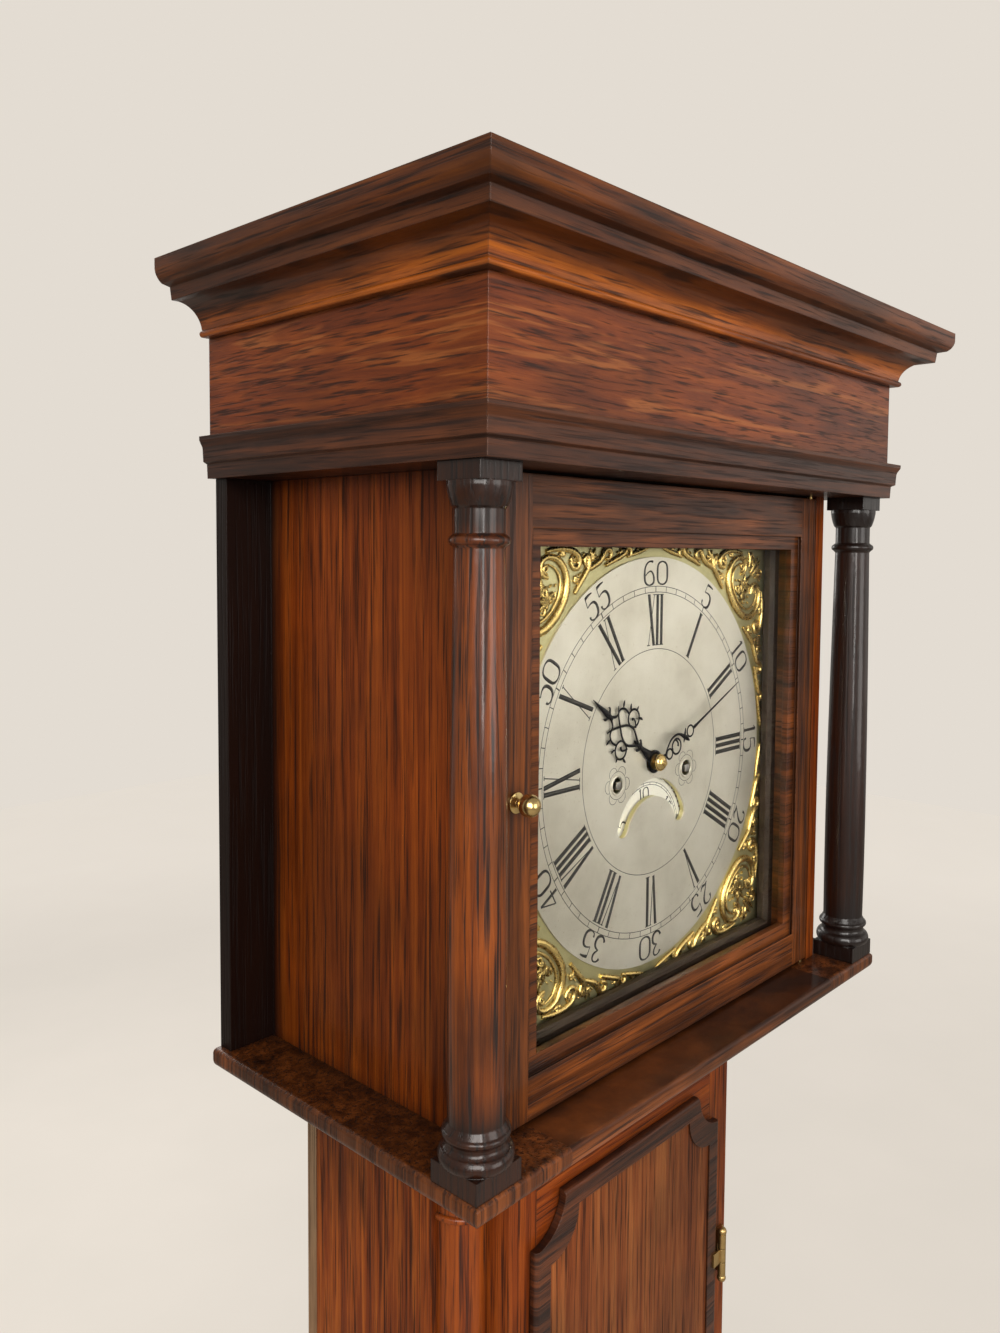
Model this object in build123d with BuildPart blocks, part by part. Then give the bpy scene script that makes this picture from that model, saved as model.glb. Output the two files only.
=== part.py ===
# Longcase clock: square hood with turned corner columns, trunk with quarter columns, box base.
# Millimetres. X across the front, -Y towards the viewer, Z up from the floor.
from build123d import *
from math import acos, atan2, cos, degrees, pi, radians, sin, sqrt
import os

os.makedirs("parts", exist_ok=True)

# Driving sizes
dial_side = 304.8         # square brass plate: every width follows it
dial_height = 1668.0      # its centre, up from the floor: every height of the hood follows it
case_back = 142.3
body_gap = 0.4            # air between pieces of different bodies
board = 12.0              # side boards
back_board = 10.0

# Widths from the dial outwards, each as half
sight_half = dial_side / 2 - 4.4
door_open_half = sight_half + 10.0
door_half = door_open_half + 22.5
hood_half = door_half + 14.0        # outer face of the hood's side boards
ear_half = hood_half + 33.5
column_x = hood_half + 21.5
frieze_half = hood_half + 37.5
cornice_half = frieze_half + 37.0
hood_base_half = frieze_half + 2.0
trunk_half = hood_half - 36.5
stile_edge = trunk_half - 28.0
opening_half = stile_edge - 26.0
base_half = trunk_half + 48.0

# Heights, measured up from the floor
hood_floor = dial_height - 185.7    # top of the hood's base frame
hood_floor_thick = 13.0
column_top = dial_height + 190.2
frieze_bottom = dial_height + 216.7
frieze_top = frieze_bottom + 61.5
case_height = frieze_top + 43.8
throat_bottom = hood_floor - 72.3
waist_top = 572.0
waist_bottom = 516.0
skirting_top = 118.0
foot_height = 58.0

# Hood
cornice_front = -142.3
architrave_out = 7.8
ear_thick = 12.0
hood_base_front = -103.5
hood_base_rail = 60.0
column_y = -85.0
abacus_half = 15.3
abacus_thick = 10.0
plinth_half = 16.9
plinth_thick = 11.9
shaft_top_r = 13.2
shaft_low_r = 15.4
neck_r = 16.6
column_base_r = 19.0
hood_lining = 14.0        # thickness of frieze and cornice ground

# Hood door, glass and mask
door_front = -70.0
door_thick = 17.0
door_play = 2.0
glass_front = -62.0
glass_thick = 2.0
knob_x = -door_half + 9.5
knob_z = dial_height + 5.0
knob_r = 6.5
knob_reach = 17.0
pivot_x = door_half - 3.0
pivot_y = -66.5
pivot_r = 2.0
pivot_deep = 6.0          # how far each pivot enters the door
mask_front = -51.5
mask_thick = 8.0
mask_half = hood_half - board

# Dial
dial_front = -42.0
dial_thick = 3.0
disc_r = dial_side / 2 - 10.4
disc_thick = 1.2
winding_x = 41.0
winding_drop = 10.5
winding_hole_r = 5.5
winding_arbor_r = 3.6
date_drop = 55.0
date_inner = 30.0
date_outer = 43.0
date_start = 22.0
date_disc_r = 45.5
centre_hole_r = 8.0
spandrel_thick = 2.6
hour_hand_reach = disc_r - 56.0
minute_hand_reach = disc_r - 28.0
hour_turn = 305.5         # clockwise from twelve
minute_turn = 65.5

# Trunk
trunk_front = -30.0
front_thick = 20.0
quarter_r = 26.5
quarter_y = 12.0
opening_top = throat_bottom - 24.0
opening_bottom = waist_top + 34.0
hollow_r = 29.0
trunk_lip = 6.0
trunk_lap = 6.0
trunk_door_thick = 18.0
hinge_x = opening_half + 11.5
hinge_y = -37.0
hinge_pin_r = 2.0
hinge_barrel_r = 3.2
hinge_length = 34.0
hinge_inset = 136.0       # from each end of the opening to the nearer hinge
hinge_heights = (opening_top - hinge_inset, opening_bottom + hinge_inset)

# Base
base_front = -74.0
base_board = 14.0
skirting_thick = 8.0

# Movement
seat_top = dial_height - 98.0
seat_thick = 19.0
plate_wide = 150.0
plate_tall = 172.0
plate_thick = 3.4
plate_low = seat_top
plate_front = -8.0        # front face of the front plate
plate_apart = 66.0        # between the plates
pillar_r = 4.2
barrel_r = 25.0
barrel_long = 38.0
line_r = 0.8
weight_r = 29.0
weight_long = 178.0
weight_top = dial_height - 342.0
pulley_r = 21.0
pulley_thick = 7.0
pulley_drop = 36.0        # from the pulley's axis down to the weight's top
pendulum_y = 80.0
pendulum_length = 990.0
bob_r = 52.0
bob_thick = 22.0
shaft_fit = 0.05          # running clearance on a shaft

# Derived places
frieze_front = cornice_front + cornice_half - frieze_half
plate_back = plate_front + plate_thick + plate_apart
movement_mid = plate_front + plate_thick + plate_apart / 2
barrel_z = dial_height - winding_drop
opening_back = trunk_front + front_thick
mask_back = mask_front + mask_thick
dial_back = dial_front + dial_thick
throat_top = hood_floor - hood_floor_thick - body_gap


def board_part(x0, x1, y0, y1, z0, z1):
    """plain board between two corners"""
    with BuildPart() as made:
        with BuildSketch(Plane.XY.offset(z0)):
            with Locations(((x0 + x1) / 2, (y0 + y1) / 2)):
                Rectangle(x1 - x0, y1 - y0)
        extrude(amount=z1 - z0)
    return made.part


def mitred_lengths(section, half, front, back, top, reach):
    """moulding carried round front and sides: section has x out, y down, cut at 45 degrees"""
    corner = Plane(origin=(-half, front, top), z_dir=(-1, 1, 0))
    with BuildPart() as long_front:
        with BuildSketch(Plane(origin=(-half - reach, front, top), x_dir=(0, -1, 0), z_dir=(1, 0, 0))):
            add(section)
        extrude(amount=2 * (half + reach))
        split(bisect_by=corner, keep=Keep.BOTTOM)
        split(bisect_by=Plane(origin=(half, front, top), z_dir=(1, 1, 0)), keep=Keep.BOTTOM)
    with BuildPart() as long_left:
        with BuildSketch(Plane(origin=(-half, back, top), x_dir=(-1, 0, 0), z_dir=(0, -1, 0))):
            add(section)
        extrude(amount=back - front + reach)
        split(bisect_by=corner, keep=Keep.TOP)
    return [long_front.part, long_left.part, mirror(long_left.part, about=Plane.YZ)]


def group(name, pieces):
    """several separate solids that make one sub-part"""
    made = Compound(label=name, children=pieces)
    export_step(made, "parts/" + name + ".step")


# Hood: cornice, frieze and architrave
cornice_ground = cornice_half - frieze_half
cornice_tall = case_height - frieze_top
fascia_drop = 6.0
ovolo_in = 4.7
ovolo_low = 14.4
corona_in = 11.1
corona_low = 23.3
cove_low = 38.7
bead_low = 43.0


def cornice_section():
    edge = cornice_ground
    with BuildSketch() as drawn:
        with BuildLine():
            fascia = Line((edge, 0), (edge, fascia_drop))
            ovolo = ThreePointArc(fascia @ 1, (edge - 1.2, 10.4), (edge - ovolo_in, ovolo_low))
            step = Line(ovolo @ 1, (edge - corona_in + 1.0, ovolo_low + 1.2))
            fillet_line = Line(step @ 1, (edge - corona_in, corona_low))
            soffit = Line(fillet_line @ 1, (edge - corona_in - 5.0, corona_low))
            cove = ThreePointArc(soffit @ 1, (edge - 27.6, 29.0), (edge - 32.0, cove_low))
            bead = ThreePointArc(cove @ 1, (edge - 30.2, (cove_low + bead_low) / 2), (edge - 32.0, bead_low))
            Polyline(bead @ 1, (0, bead_low), (-hood_lining, bead_low), (-hood_lining, 0), fascia @ 0)
        make_face()
    return drawn.sketch


group("cornice", mitred_lengths(cornice_section(), frieze_half, frieze_front, case_back, case_height,
                                cornice_ground))


frieze_tall = cornice_tall + frieze_top - frieze_bottom - bead_low


def frieze_section():
    with BuildSketch() as drawn:
        with BuildLine():
            Polyline((0, 0), (0, frieze_tall), (-hood_lining, frieze_tall), (-hood_lining, 0), close=True)
        make_face()
    return drawn.sketch


group("frieze", mitred_lengths(frieze_section(), frieze_half, frieze_front, case_back,
                               case_height - bead_low, cornice_ground))

architrave_tall = frieze_bottom - column_top
architrave_in = frieze_half - hood_half + board


def architrave_section():
    with BuildSketch() as drawn:
        with BuildLine():
            top = Line((0, 0), (architrave_out, 0))
            lip = Line(top @ 1, (architrave_out, 2.4))
            ogee = Spline(lip @ 1, (6.6, 4.8), (5.4, 8.6), tangents=((-0.4, 1), (0, 1)))
            flat = Line(ogee @ 1, (5.0, 16.0))
            step = Line(flat @ 1, (2.4, 17.4))
            low = Line(step @ 1, (2.0, architrave_tall))
            Polyline(low @ 1, (-architrave_in, architrave_tall), (-architrave_in, 0), top @ 0)
        make_face()
    return drawn.sketch


group("architrave", mitred_lengths(architrave_section(), frieze_half, frieze_front, case_back,
                                   frieze_bottom, architrave_out))

hood_inner = frieze_half - hood_lining
hood_top_thick = 9.0
with BuildPart() as hood_top:
    with BuildSketch(Plane.XY.offset(case_height - hood_top_thick)):
        with Locations((0, (frieze_front + hood_lining + case_back) / 2)):
            Rectangle(2 * hood_inner, case_back - frieze_front - hood_lining)
    extrude(amount=hood_top_thick)
hood_top.part.label = "hood_top"
export_step(hood_top.part, "parts/hood_top.step")

hood_side = board_part(-hood_half, -hood_half + board, door_front, case_back, hood_floor, column_top)
hood_ear = board_part(-ear_half, -hood_half, case_back - ear_thick, case_back, hood_floor, column_top)
group("hood_sides", [hood_side, hood_ear, mirror(hood_side, about=Plane.YZ), mirror(hood_ear, about=Plane.YZ)])

nose_r = 3.0


def hood_base_section():
    with BuildSketch() as drawn:
        with BuildLine():
            top = Line((-hood_base_rail, 0), (-nose_r, 0))
            upper = ThreePointArc(top @ 1, (-nose_r * (1 - sin(pi / 4)), nose_r * (1 - cos(pi / 4))), (0, nose_r))
            side = Line(upper @ 1, (0, hood_floor_thick - 2 * nose_r))
            lower = RadiusArc(side @ 1, (-2 * nose_r, hood_floor_thick), -2 * nose_r)
            Polyline(lower @ 1, (-hood_base_rail, hood_floor_thick), top @ 0)
        make_face()
    return drawn.sketch


group("hood_base", mitred_lengths(hood_base_section(), hood_base_half, hood_base_front, case_back,
                                  hood_floor, nose_r))


def column_profile():
    """half outline of a turned column with a swelling shaft, rings at neck and foot"""
    low = hood_floor + plinth_thick
    high = column_top - abacus_thick
    with BuildSketch() as drawn:
        with BuildLine():
            foot = Line((0, low), (column_base_r, low))
            torus = ThreePointArc(foot @ 1, (column_base_r + 1.6, low + 4.0), (column_base_r, low + 8.0))
            scotia = ThreePointArc(torus @ 1, (column_base_r - 2.6, low + 11.0), (column_base_r - 1.6, low + 14.0))
            ring = ThreePointArc(scotia @ 1, (column_base_r - 0.4, low + 16.0), (column_base_r - 1.8, low + 18.0))
            apophyge = Line(ring @ 1, (shaft_low_r, low + 21.5))
            shaft = Spline(apophyge @ 1, (shaft_low_r + 0.3, low + 0.3 * (high - low)),
                           (shaft_low_r - 0.7, low + 0.62 * (high - low)), (shaft_top_r, high - 34.0))
            neck_low = Line(shaft @ 1, (shaft_top_r + 1.4, high - 32.4))
            neck = ThreePointArc(neck_low @ 1, (neck_r - 0.4, high - 30.0), (shaft_top_r + 1.4, high - 27.6))
            necking = Line(neck @ 1, (shaft_top_r, high - 26.4))
            throat = Line(necking @ 1, (shaft_top_r, high - 14.0))
            fillet_out = Line(throat @ 1, (shaft_top_r + 1.4, high - 12.6))
            echinus = ThreePointArc(fillet_out @ 1, (neck_r - 0.6, high - 8.4), (neck_r + 0.6, high - 2.4))
            cap = Line(echinus @ 1, (neck_r + 0.6, high))
            Polyline(cap @ 1, (0, high), foot @ 0)
        make_face()
    return drawn.sketch


for side, name in ((-1, "column_left"), (1, "column_right")):
    with BuildPart() as column:
        with BuildSketch(Plane(origin=(side * column_x, column_y, 0), x_dir=(1, 0, 0), z_dir=(0, -1, 0))):
            add(column_profile())
        revolve(axis=Axis((side * column_x, column_y, 0), (0, 0, 1)))
        with BuildSketch(Plane.XY.offset(hood_floor)):
            with Locations((side * column_x, column_y)):
                Rectangle(2 * plinth_half, 2 * plinth_half)
        extrude(amount=plinth_thick)
        with BuildSketch(Plane.XY.offset(column_top - abacus_thick)):
            with Locations((side * column_x, column_y)):
                Rectangle(2 * abacus_half, 2 * abacus_half)
        extrude(amount=abacus_thick)
    column.part.label = name
    export_step(column.part, "parts/" + name + ".step")

# Dial mask behind the door: a flat board with a square opening
with BuildPart() as dial_mask:
    with BuildSketch(Plane(origin=(0, mask_back, dial_height), x_dir=(1, 0, 0), z_dir=(0, -1, 0))):
        with Locations((0, (column_top + hood_floor) / 2 - dial_height)):
            Rectangle(2 * mask_half, column_top - hood_floor)
        Rectangle(2 * sight_half, 2 * sight_half, mode=Mode.SUBTRACT)
    extrude(amount=mask_thick)
    sight_edges = dial_mask.edges().group_by(Axis.Y)[0]
    inner_edges = [e for e in sight_edges if abs(e.center().X) <= sight_half + 1
                   and abs(e.center().Z - dial_height) <= sight_half + 1]
    chamfer(inner_edges, 3.0)
dial_mask.part.label = "dial_mask"
export_step(dial_mask.part, "parts/dial_mask.step")

# Hood door: rails and stiles about a square sight, an inner moulding and a glass in its rebate
door_low = hood_floor + door_play
door_high = column_top - door_play
door_back = door_front + door_thick
glass_edge = 6.0
front_plane = Plane(origin=(0, door_front, dial_height), x_dir=(1, 0, 0), z_dir=(0, -1, 0))
with BuildPart() as hood_door_frame:
    with BuildSketch(Plane(origin=(0, door_back, dial_height), x_dir=(1, 0, 0), z_dir=(0, -1, 0))):
        with Locations((0, (door_low + door_high) / 2 - dial_height)):
            Rectangle(2 * door_half, door_high - door_low)
        Rectangle(2 * sight_half, 2 * sight_half, mode=Mode.SUBTRACT)
    extrude(amount=door_thick)
    # rebate behind for the glass
    with BuildSketch(Plane(origin=(0, door_back, dial_height), x_dir=(1, 0, 0), z_dir=(0, -1, 0))):
        Rectangle(2 * (sight_half + glass_edge), 2 * (sight_half + glass_edge))
    extrude(amount=door_back - glass_front, mode=Mode.SUBTRACT)
    # hollow cut into the front edge of the sight
    with BuildSketch(front_plane):
        Rectangle(2 * door_open_half, 2 * door_open_half)
    extrude(amount=-3.0, taper=-24.0, mode=Mode.SUBTRACT)
    # hole for each pivot
    for z in (door_low, door_high):
        with Locations((pivot_x, pivot_y, z)):
            Cylinder(pivot_r + shaft_fit, 2 * (door_play + pivot_deep), mode=Mode.SUBTRACT)
hood_door_frame.part.label = "hood_door_frame"
export_step(hood_door_frame.part, "parts/hood_door_frame.step")

with BuildPart() as hood_door_glass:
    with BuildSketch(Plane(origin=(0, glass_front + glass_thick, dial_height), x_dir=(1, 0, 0),
                           z_dir=(0, -1, 0))):
        Rectangle(2 * (sight_half + glass_edge), 2 * (sight_half + glass_edge))
    extrude(amount=glass_thick)
hood_door_glass.part.label = "hood_door_glass"
export_step(hood_door_glass.part, "parts/hood_door_glass.step")

# Pivots stand in the hood's base and architrave and enter the door
with BuildPart() as hood_door_pivots:
    for low, high in ((hood_floor, door_low + pivot_deep), (door_high - pivot_deep, column_top)):
        with BuildSketch(Plane.XY.offset(low)):
            with Locations((pivot_x, pivot_y)):
                Circle(pivot_r)
        extrude(amount=high - low)
hood_door_pivots.part.label = "hood_door_pivots"
export_step(hood_door_pivots.part, "parts/hood_door_pivots.step")

knob_neck_r = 2.2
knob_centre = door_front - knob_reach + knob_r
with BuildPart() as hood_door_knob:
    with BuildSketch(Plane(origin=(knob_x, 0, knob_z), x_dir=(1, 0, 0), z_dir=(0, 0, 1))):
        with BuildLine():
            rose = Polyline((0, door_front), (knob_r - 0.5, door_front), (knob_r - 0.5, door_front - 1.4),
                            (knob_neck_r + 0.4, door_front - 2.6), (knob_neck_r, door_front - 4.0),
                            (knob_neck_r, knob_centre + sqrt(knob_r ** 2 - knob_neck_r ** 2)))
            head = ThreePointArc(rose @ 1, (knob_r, knob_centre), (0, knob_centre - knob_r))
            Line(head @ 1, rose @ 0)
        make_face()
    revolve(axis=Axis((knob_x, 0, knob_z), (0, 1, 0)))
hood_door_knob.part.label = "hood_door_knob"
export_step(hood_door_knob.part, "parts/hood_door_knob.step")

# Trunk carcase: sides rise past the throat as cheeks that carry the seat board
cheek_top = seat_top - seat_thick
with BuildPart() as trunk_sides:
    with BuildSketch(Plane.XY.offset(waist_bottom)):
        with Locations(*[(s * (trunk_half - board / 2), (quarter_y + case_back - back_board) / 2)
                         for s in (-1, 1)]):
            Rectangle(board, case_back - back_board - quarter_y)
    extrude(amount=cheek_top - waist_bottom)
trunk_sides.part.label = "trunk_sides"
export_step(trunk_sides.part, "parts/trunk_sides.step")

# The back board widens inside the hood and reaches the floor behind the base
with BuildPart() as back_panel:
    with BuildSketch(Plane.XZ.offset(-case_back)):
        for half, low, high in ((base_half - base_board, foot_height, waist_bottom),
                                (trunk_half, waist_bottom, hood_floor + body_gap),
                                (hood_half - board - 1.0, hood_floor + body_gap,
                                 case_height - hood_top_thick - 1.0)):
            with Locations((0, (low + high) / 2)):
                Rectangle(2 * half, high - low)
    extrude(amount=back_board)
back_panel.part.label = "back_board"
export_step(back_panel.part, "parts/back_board.step")

with BuildPart() as trunk_stiles:
    with BuildSketch(Plane.XY.offset(waist_bottom)):
        with Locations(*[(s * (opening_half + stile_edge) / 2, trunk_front + front_thick / 2)
                         for s in (-1, 1)]):
            Rectangle(stile_edge - opening_half, front_thick)
        with Locations(*[(s * (stile_edge - 3.0), quarter_y / 2 + opening_back / 2 + 8.0) for s in (-1, 1)]):
            Rectangle(6.0, quarter_y - opening_back + 16.0)
    extrude(amount=throat_top - waist_bottom)
trunk_stiles.part.label = "trunk_stiles"
export_step(trunk_stiles.part, "parts/trunk_stiles.step")


def opening_outline(half, low, high, hollow):
    """door outline: square below, quarter hollows cut from the two top corners"""
    with BuildSketch() as drawn:
        with Locations((0, (low + high) / 2)):
            Rectangle(2 * half, high - low)
        with Locations((-half, high), (half, high)):
            Circle(hollow, mode=Mode.SUBTRACT)
    return drawn.sketch


trunk_plane = Plane(origin=(0, opening_back, 0), x_dir=(1, 0, 0), z_dir=(0, -1, 0))
with BuildPart() as rail_top:
    with BuildSketch(trunk_plane):
        with Locations((0, (opening_top - hollow_r + throat_top) / 2)):
            Rectangle(2 * opening_half, throat_top - opening_top + hollow_r)
        add(opening_outline(opening_half, opening_bottom, opening_top, hollow_r), mode=Mode.SUBTRACT)
    extrude(amount=front_thick)
rail_low = board_part(-opening_half, opening_half, trunk_front, opening_back, waist_bottom, opening_bottom)
group("trunk_rails", [rail_top.part, rail_low])

# Quarter columns stand in the recess at each front corner
recess_low = waist_top
recess_high = throat_bottom
quarter_axis = stile_edge
with BuildPart() as quarter_columns:
    for side in (-1, 1):
        x = side * quarter_axis
        with BuildSketch(Plane(origin=(x, quarter_y, 0), x_dir=(1, 0, 0), z_dir=(0, -1, 0))):
            with BuildLine():
                foot = Line((0, recess_low), (quarter_r, recess_low))
                base = Line(foot @ 1, (quarter_r, recess_low + 16.0))
                base_ring = ThreePointArc(base @ 1, (quarter_r + 0.8, recess_low + 19.0),
                                          (quarter_r - 0.6, recess_low + 22.0))
                lead = Line(base_ring @ 1, (quarter_r - 3.6, recess_low + 25.0))
                shaft = Line(lead @ 1, (quarter_r - 4.0, recess_high - 24.0))
                ring = ThreePointArc(shaft @ 1, (quarter_r - 1.6, recess_high - 21.5),
                                     (quarter_r - 4.0, recess_high - 19.0))
                necking = Line(ring @ 1, (quarter_r - 4.0, recess_high - 12.0))
                echinus = ThreePointArc(necking @ 1, (quarter_r - 1.4, recess_high - 9.0),
                                        (quarter_r, recess_high - 5.0))
                cap = Line(echinus @ 1, (quarter_r, recess_high))
                Polyline(cap @ 1, (0, recess_high), foot @ 0)
            make_face()
        revolve(axis=Axis((x, quarter_y, 0), (0, 0, 1)))
    # keep the outer front quarter, with a flat tongue that meets stile and side
    with BuildSketch(Plane.XY.offset(recess_low)):
        with Locations(*[(s * (stile_edge + quarter_r), quarter_y - quarter_r) for s in (-1, 1)]):
            Rectangle(2 * quarter_r, 2 * quarter_r)
    extrude(amount=recess_high - recess_low, mode=Mode.INTERSECT)
quarter_columns.part.label = "quarter_columns"
export_step(quarter_columns.part, "parts/quarter_columns.step")

# Throat moulding below the hood: a deep hollow between two small steps
throat_tall = throat_top - throat_bottom
throat_out = 50.0
throat_back = case_back - back_board


def throat_section():
    with BuildSketch() as drawn:
        with BuildLine():
            top = Line((0, 0), (throat_out, 0))
            lip = Line(top @ 1, (throat_out, 5.0))
            bead = ThreePointArc(lip @ 1, (throat_out - 1.2, 8.0), (throat_out - 4.2, 9.2))
            step = Line(bead @ 1, (throat_out - 5.4, 9.2))
            hollow = ThreePointArc(step @ 1, (throat_out - 31.0, throat_tall - 26.0),
                                   (7.0, throat_tall - 9.0))
            low_step = Line(hollow @ 1, (4.0, throat_tall - 9.0))
            low = Line(low_step @ 1, (4.0, throat_tall))
            Polyline(low @ 1, (0, throat_tall), top @ 0)
        make_face()
    return drawn.sketch


group("throat_moulding", mitred_lengths(throat_section(), trunk_half, trunk_front, throat_back,
                                        throat_top, throat_out))

# Waist moulding: a hollow spreading from trunk to base
waist_tall = waist_top - waist_bottom
waist_out = base_half - trunk_half + 5.0


def waist_section():
    with BuildSketch() as drawn:
        with BuildLine():
            top = Line((0, 0), (4.5, 0))
            bead = ThreePointArc(top @ 1, (6.6, 3.2), (4.5, 6.4))
            fillet_line = Line(bead @ 1, (4.5, 9.0))
            hollow = ThreePointArc(fillet_line @ 1, (16.0, waist_tall - 25.0), (waist_out - 9.0, waist_tall - 15.0))
            step = Line(hollow @ 1, (waist_out - 5.0, waist_tall - 15.0))
            ovolo = ThreePointArc(step @ 1, (waist_out, waist_tall - 8.5), (waist_out - 2.0, waist_tall))
            Polyline(ovolo @ 1, (0, waist_tall), top @ 0)
        make_face()
    return drawn.sketch


group("waist_moulding", mitred_lengths(waist_section(), trunk_half, trunk_front, throat_back,
                                       waist_top, waist_out))

# Base box: front panel between two sides, a skirting with shaped bracket feet
base_back = case_back
group("base_panels", [
    board_part(-base_half + base_board, base_half - base_board, base_front, base_front + base_board,
               foot_height, waist_bottom),
    board_part(-base_half, -base_half + base_board, base_front, base_back, foot_height, waist_bottom),
    board_part(base_half - base_board, base_half, base_front, base_back, foot_height, waist_bottom)])

foot_wide = 92.0


def skirting_section():
    with BuildSketch() as drawn:
        with BuildLine():
            top = Line((0, 0), (2.0, 0))
            hollow = ThreePointArc(top @ 1, (skirting_thick * 0.55, 5.4), (skirting_thick, 9.0))
            face_line = Line(hollow @ 1, (skirting_thick, skirting_top))
            Polyline(face_line @ 1, (0, skirting_top), top @ 0)
        make_face()
    return drawn.sketch


skirting = mitred_lengths(skirting_section(), base_half, base_front, base_back, skirting_top, skirting_thick)


def foot_arch(span, middle):
    """shaped space between two bracket feet, drawn on a wall with its middle at the given place"""
    half = span / 2
    with BuildSketch() as drawn:
        with BuildLine():
            low = Line((-half, -1.0), (half, -1.0))
            rise = Line(low @ 1, (half, 8.0))
            swell = ThreePointArc(rise @ 1, (half - 4.0, 22.0), (half - 16.0, 30.0))
            curl = ThreePointArc(swell @ 1, (half - 26.0, 36.0), (half - 32.0, foot_height - 12.0))
            over = Line(curl @ 1, (-half + 32.0, foot_height - 12.0))
            curl_back = ThreePointArc(over @ 1, (-half + 26.0, 36.0), (-half + 16.0, 30.0))
            swell_back = ThreePointArc(curl_back @ 1, (-half + 4.0, 22.0), (-half, 8.0))
            Line(swell_back @ 1, low @ 0)
        make_face()
    return Pos(middle, 0, 0) * drawn.sketch


foot_front_side = 72.0      # feet as seen from the side, front and back
foot_back_side = 40.0
side_span = base_back - base_front - foot_front_side - foot_back_side
with BuildPart() as skirting_front:
    add(skirting[0])
    with BuildSketch(Plane(origin=(0, base_front + 1.0, 0), x_dir=(1, 0, 0), z_dir=(0, -1, 0))):
        add(foot_arch(2 * (base_half - foot_wide), 0))
    extrude(amount=skirting_thick + 2.0, mode=Mode.SUBTRACT)
with BuildPart() as skirting_left:
    add(skirting[1])
    with BuildSketch(Plane(origin=(-base_half + 1.0, 0, 0), x_dir=(0, -1, 0), z_dir=(-1, 0, 0))):
        add(foot_arch(side_span, -(base_back - foot_back_side - side_span / 2)))
    extrude(amount=skirting_thick + 2.0, mode=Mode.SUBTRACT)
group("skirting", [skirting_front.part, skirting_left.part, mirror(skirting_left.part, about=Plane.YZ)])

# Bottom board, and glued blocks inside the corners that carry the weight down to the floor
block_wide = 34.0
block_places = [(s * (base_half - base_board - block_wide / 2), y)
                for s in (-1, 1)
                for y in (base_front + base_board + block_wide / 2, case_back - back_board - block_wide / 2)]
bottom_low = foot_height + 4.0
group("base_floor", [board_part(-base_half + base_board, base_half - base_board, base_front + base_board,
                                case_back - back_board, bottom_low, bottom_low + board)]
      + [board_part(x - block_wide / 2, x + block_wide / 2, y - block_wide / 2, y + block_wide / 2,
                    0, bottom_low) for x, y in block_places])

# Trunk door: panel in the opening, moulded lip lapping the frame all round
door_panel_half = opening_half - door_play
door_panel_low = opening_bottom + door_play
door_panel_high = opening_top - door_play
trunk_door_back = trunk_front + trunk_door_thick - trunk_lip
lip_back = trunk_front - body_gap
lip_front = trunk_front - trunk_lip
lip_half = opening_half + trunk_lap
lip_low = opening_bottom - trunk_lap
lip_high = opening_top + trunk_lap
lip_wide = 14.0
lip_inner_half = lip_half - lip_wide
with BuildPart() as trunk_door:
    with BuildSketch(Plane(origin=(0, trunk_door_back, 0), x_dir=(1, 0, 0), z_dir=(0, -1, 0))):
        add(opening_outline(door_panel_half, door_panel_low, door_panel_high, hollow_r + door_play))
    extrude(amount=trunk_door_back - lip_back)
    with BuildSketch(Plane(origin=(0, lip_back, 0), x_dir=(1, 0, 0), z_dir=(0, -1, 0))):
        add(opening_outline(lip_inner_half, lip_low + lip_wide, lip_high - lip_wide, hollow_r))
    extrude(amount=lip_back - lip_front - 1.2)
trunk_door.part.label = "trunk_door"
export_step(trunk_door.part, "parts/trunk_door.step")

with BuildPart() as trunk_door_lip:
    with BuildSketch(Plane(origin=(0, lip_back, 0), x_dir=(1, 0, 0), z_dir=(0, -1, 0))):
        add(opening_outline(lip_half, lip_low, lip_high, hollow_r))
        add(opening_outline(lip_inner_half, lip_low + lip_wide, lip_high - lip_wide, hollow_r),
            mode=Mode.SUBTRACT)
    extrude(amount=lip_back - lip_front)
    outer = [e for e in trunk_door_lip.edges().group_by(Axis.Y)[0]
             if abs(e.center().X) > lip_inner_half + 0.5 or e.center().Z < lip_low + 1.0
             or e.center().Z > lip_high - 1.0]
    fillet(outer, 3.4)
trunk_door_lip.part.label = "trunk_door_lip"
export_step(trunk_door_lip.part, "parts/trunk_door_lip.step")

# Butt hinges of the trunk door: barrels with ball finials, a leaf to each side
hinge_leaf_thick = 1.6
hinge_knuckle = hinge_length / 3
finial_r = 3.6
leaf_start = lip_half - 7.0
leaf_end = hinge_x - hinge_pin_r - 0.6
with BuildPart() as trunk_hinge_door:
    for z in hinge_heights:
        with BuildSketch(Plane.XY.offset(z - hinge_knuckle / 2 + body_gap / 2)):
            with Locations((hinge_x, hinge_y)):
                Circle(hinge_barrel_r)
                Circle(hinge_pin_r + shaft_fit, mode=Mode.SUBTRACT)
        extrude(amount=hinge_knuckle - body_gap)
        with BuildSketch(Plane.XY.offset(z - hinge_knuckle / 2 + body_gap / 2)):
            with Locations(((leaf_start + leaf_end) / 2, lip_front - hinge_leaf_thick / 2)):
                Rectangle(leaf_end - leaf_start, hinge_leaf_thick)
        extrude(amount=hinge_knuckle - body_gap)
trunk_hinge_door.part.label = "trunk_hinge_door"
export_step(trunk_hinge_door.part, "parts/trunk_hinge_door.step")

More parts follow.
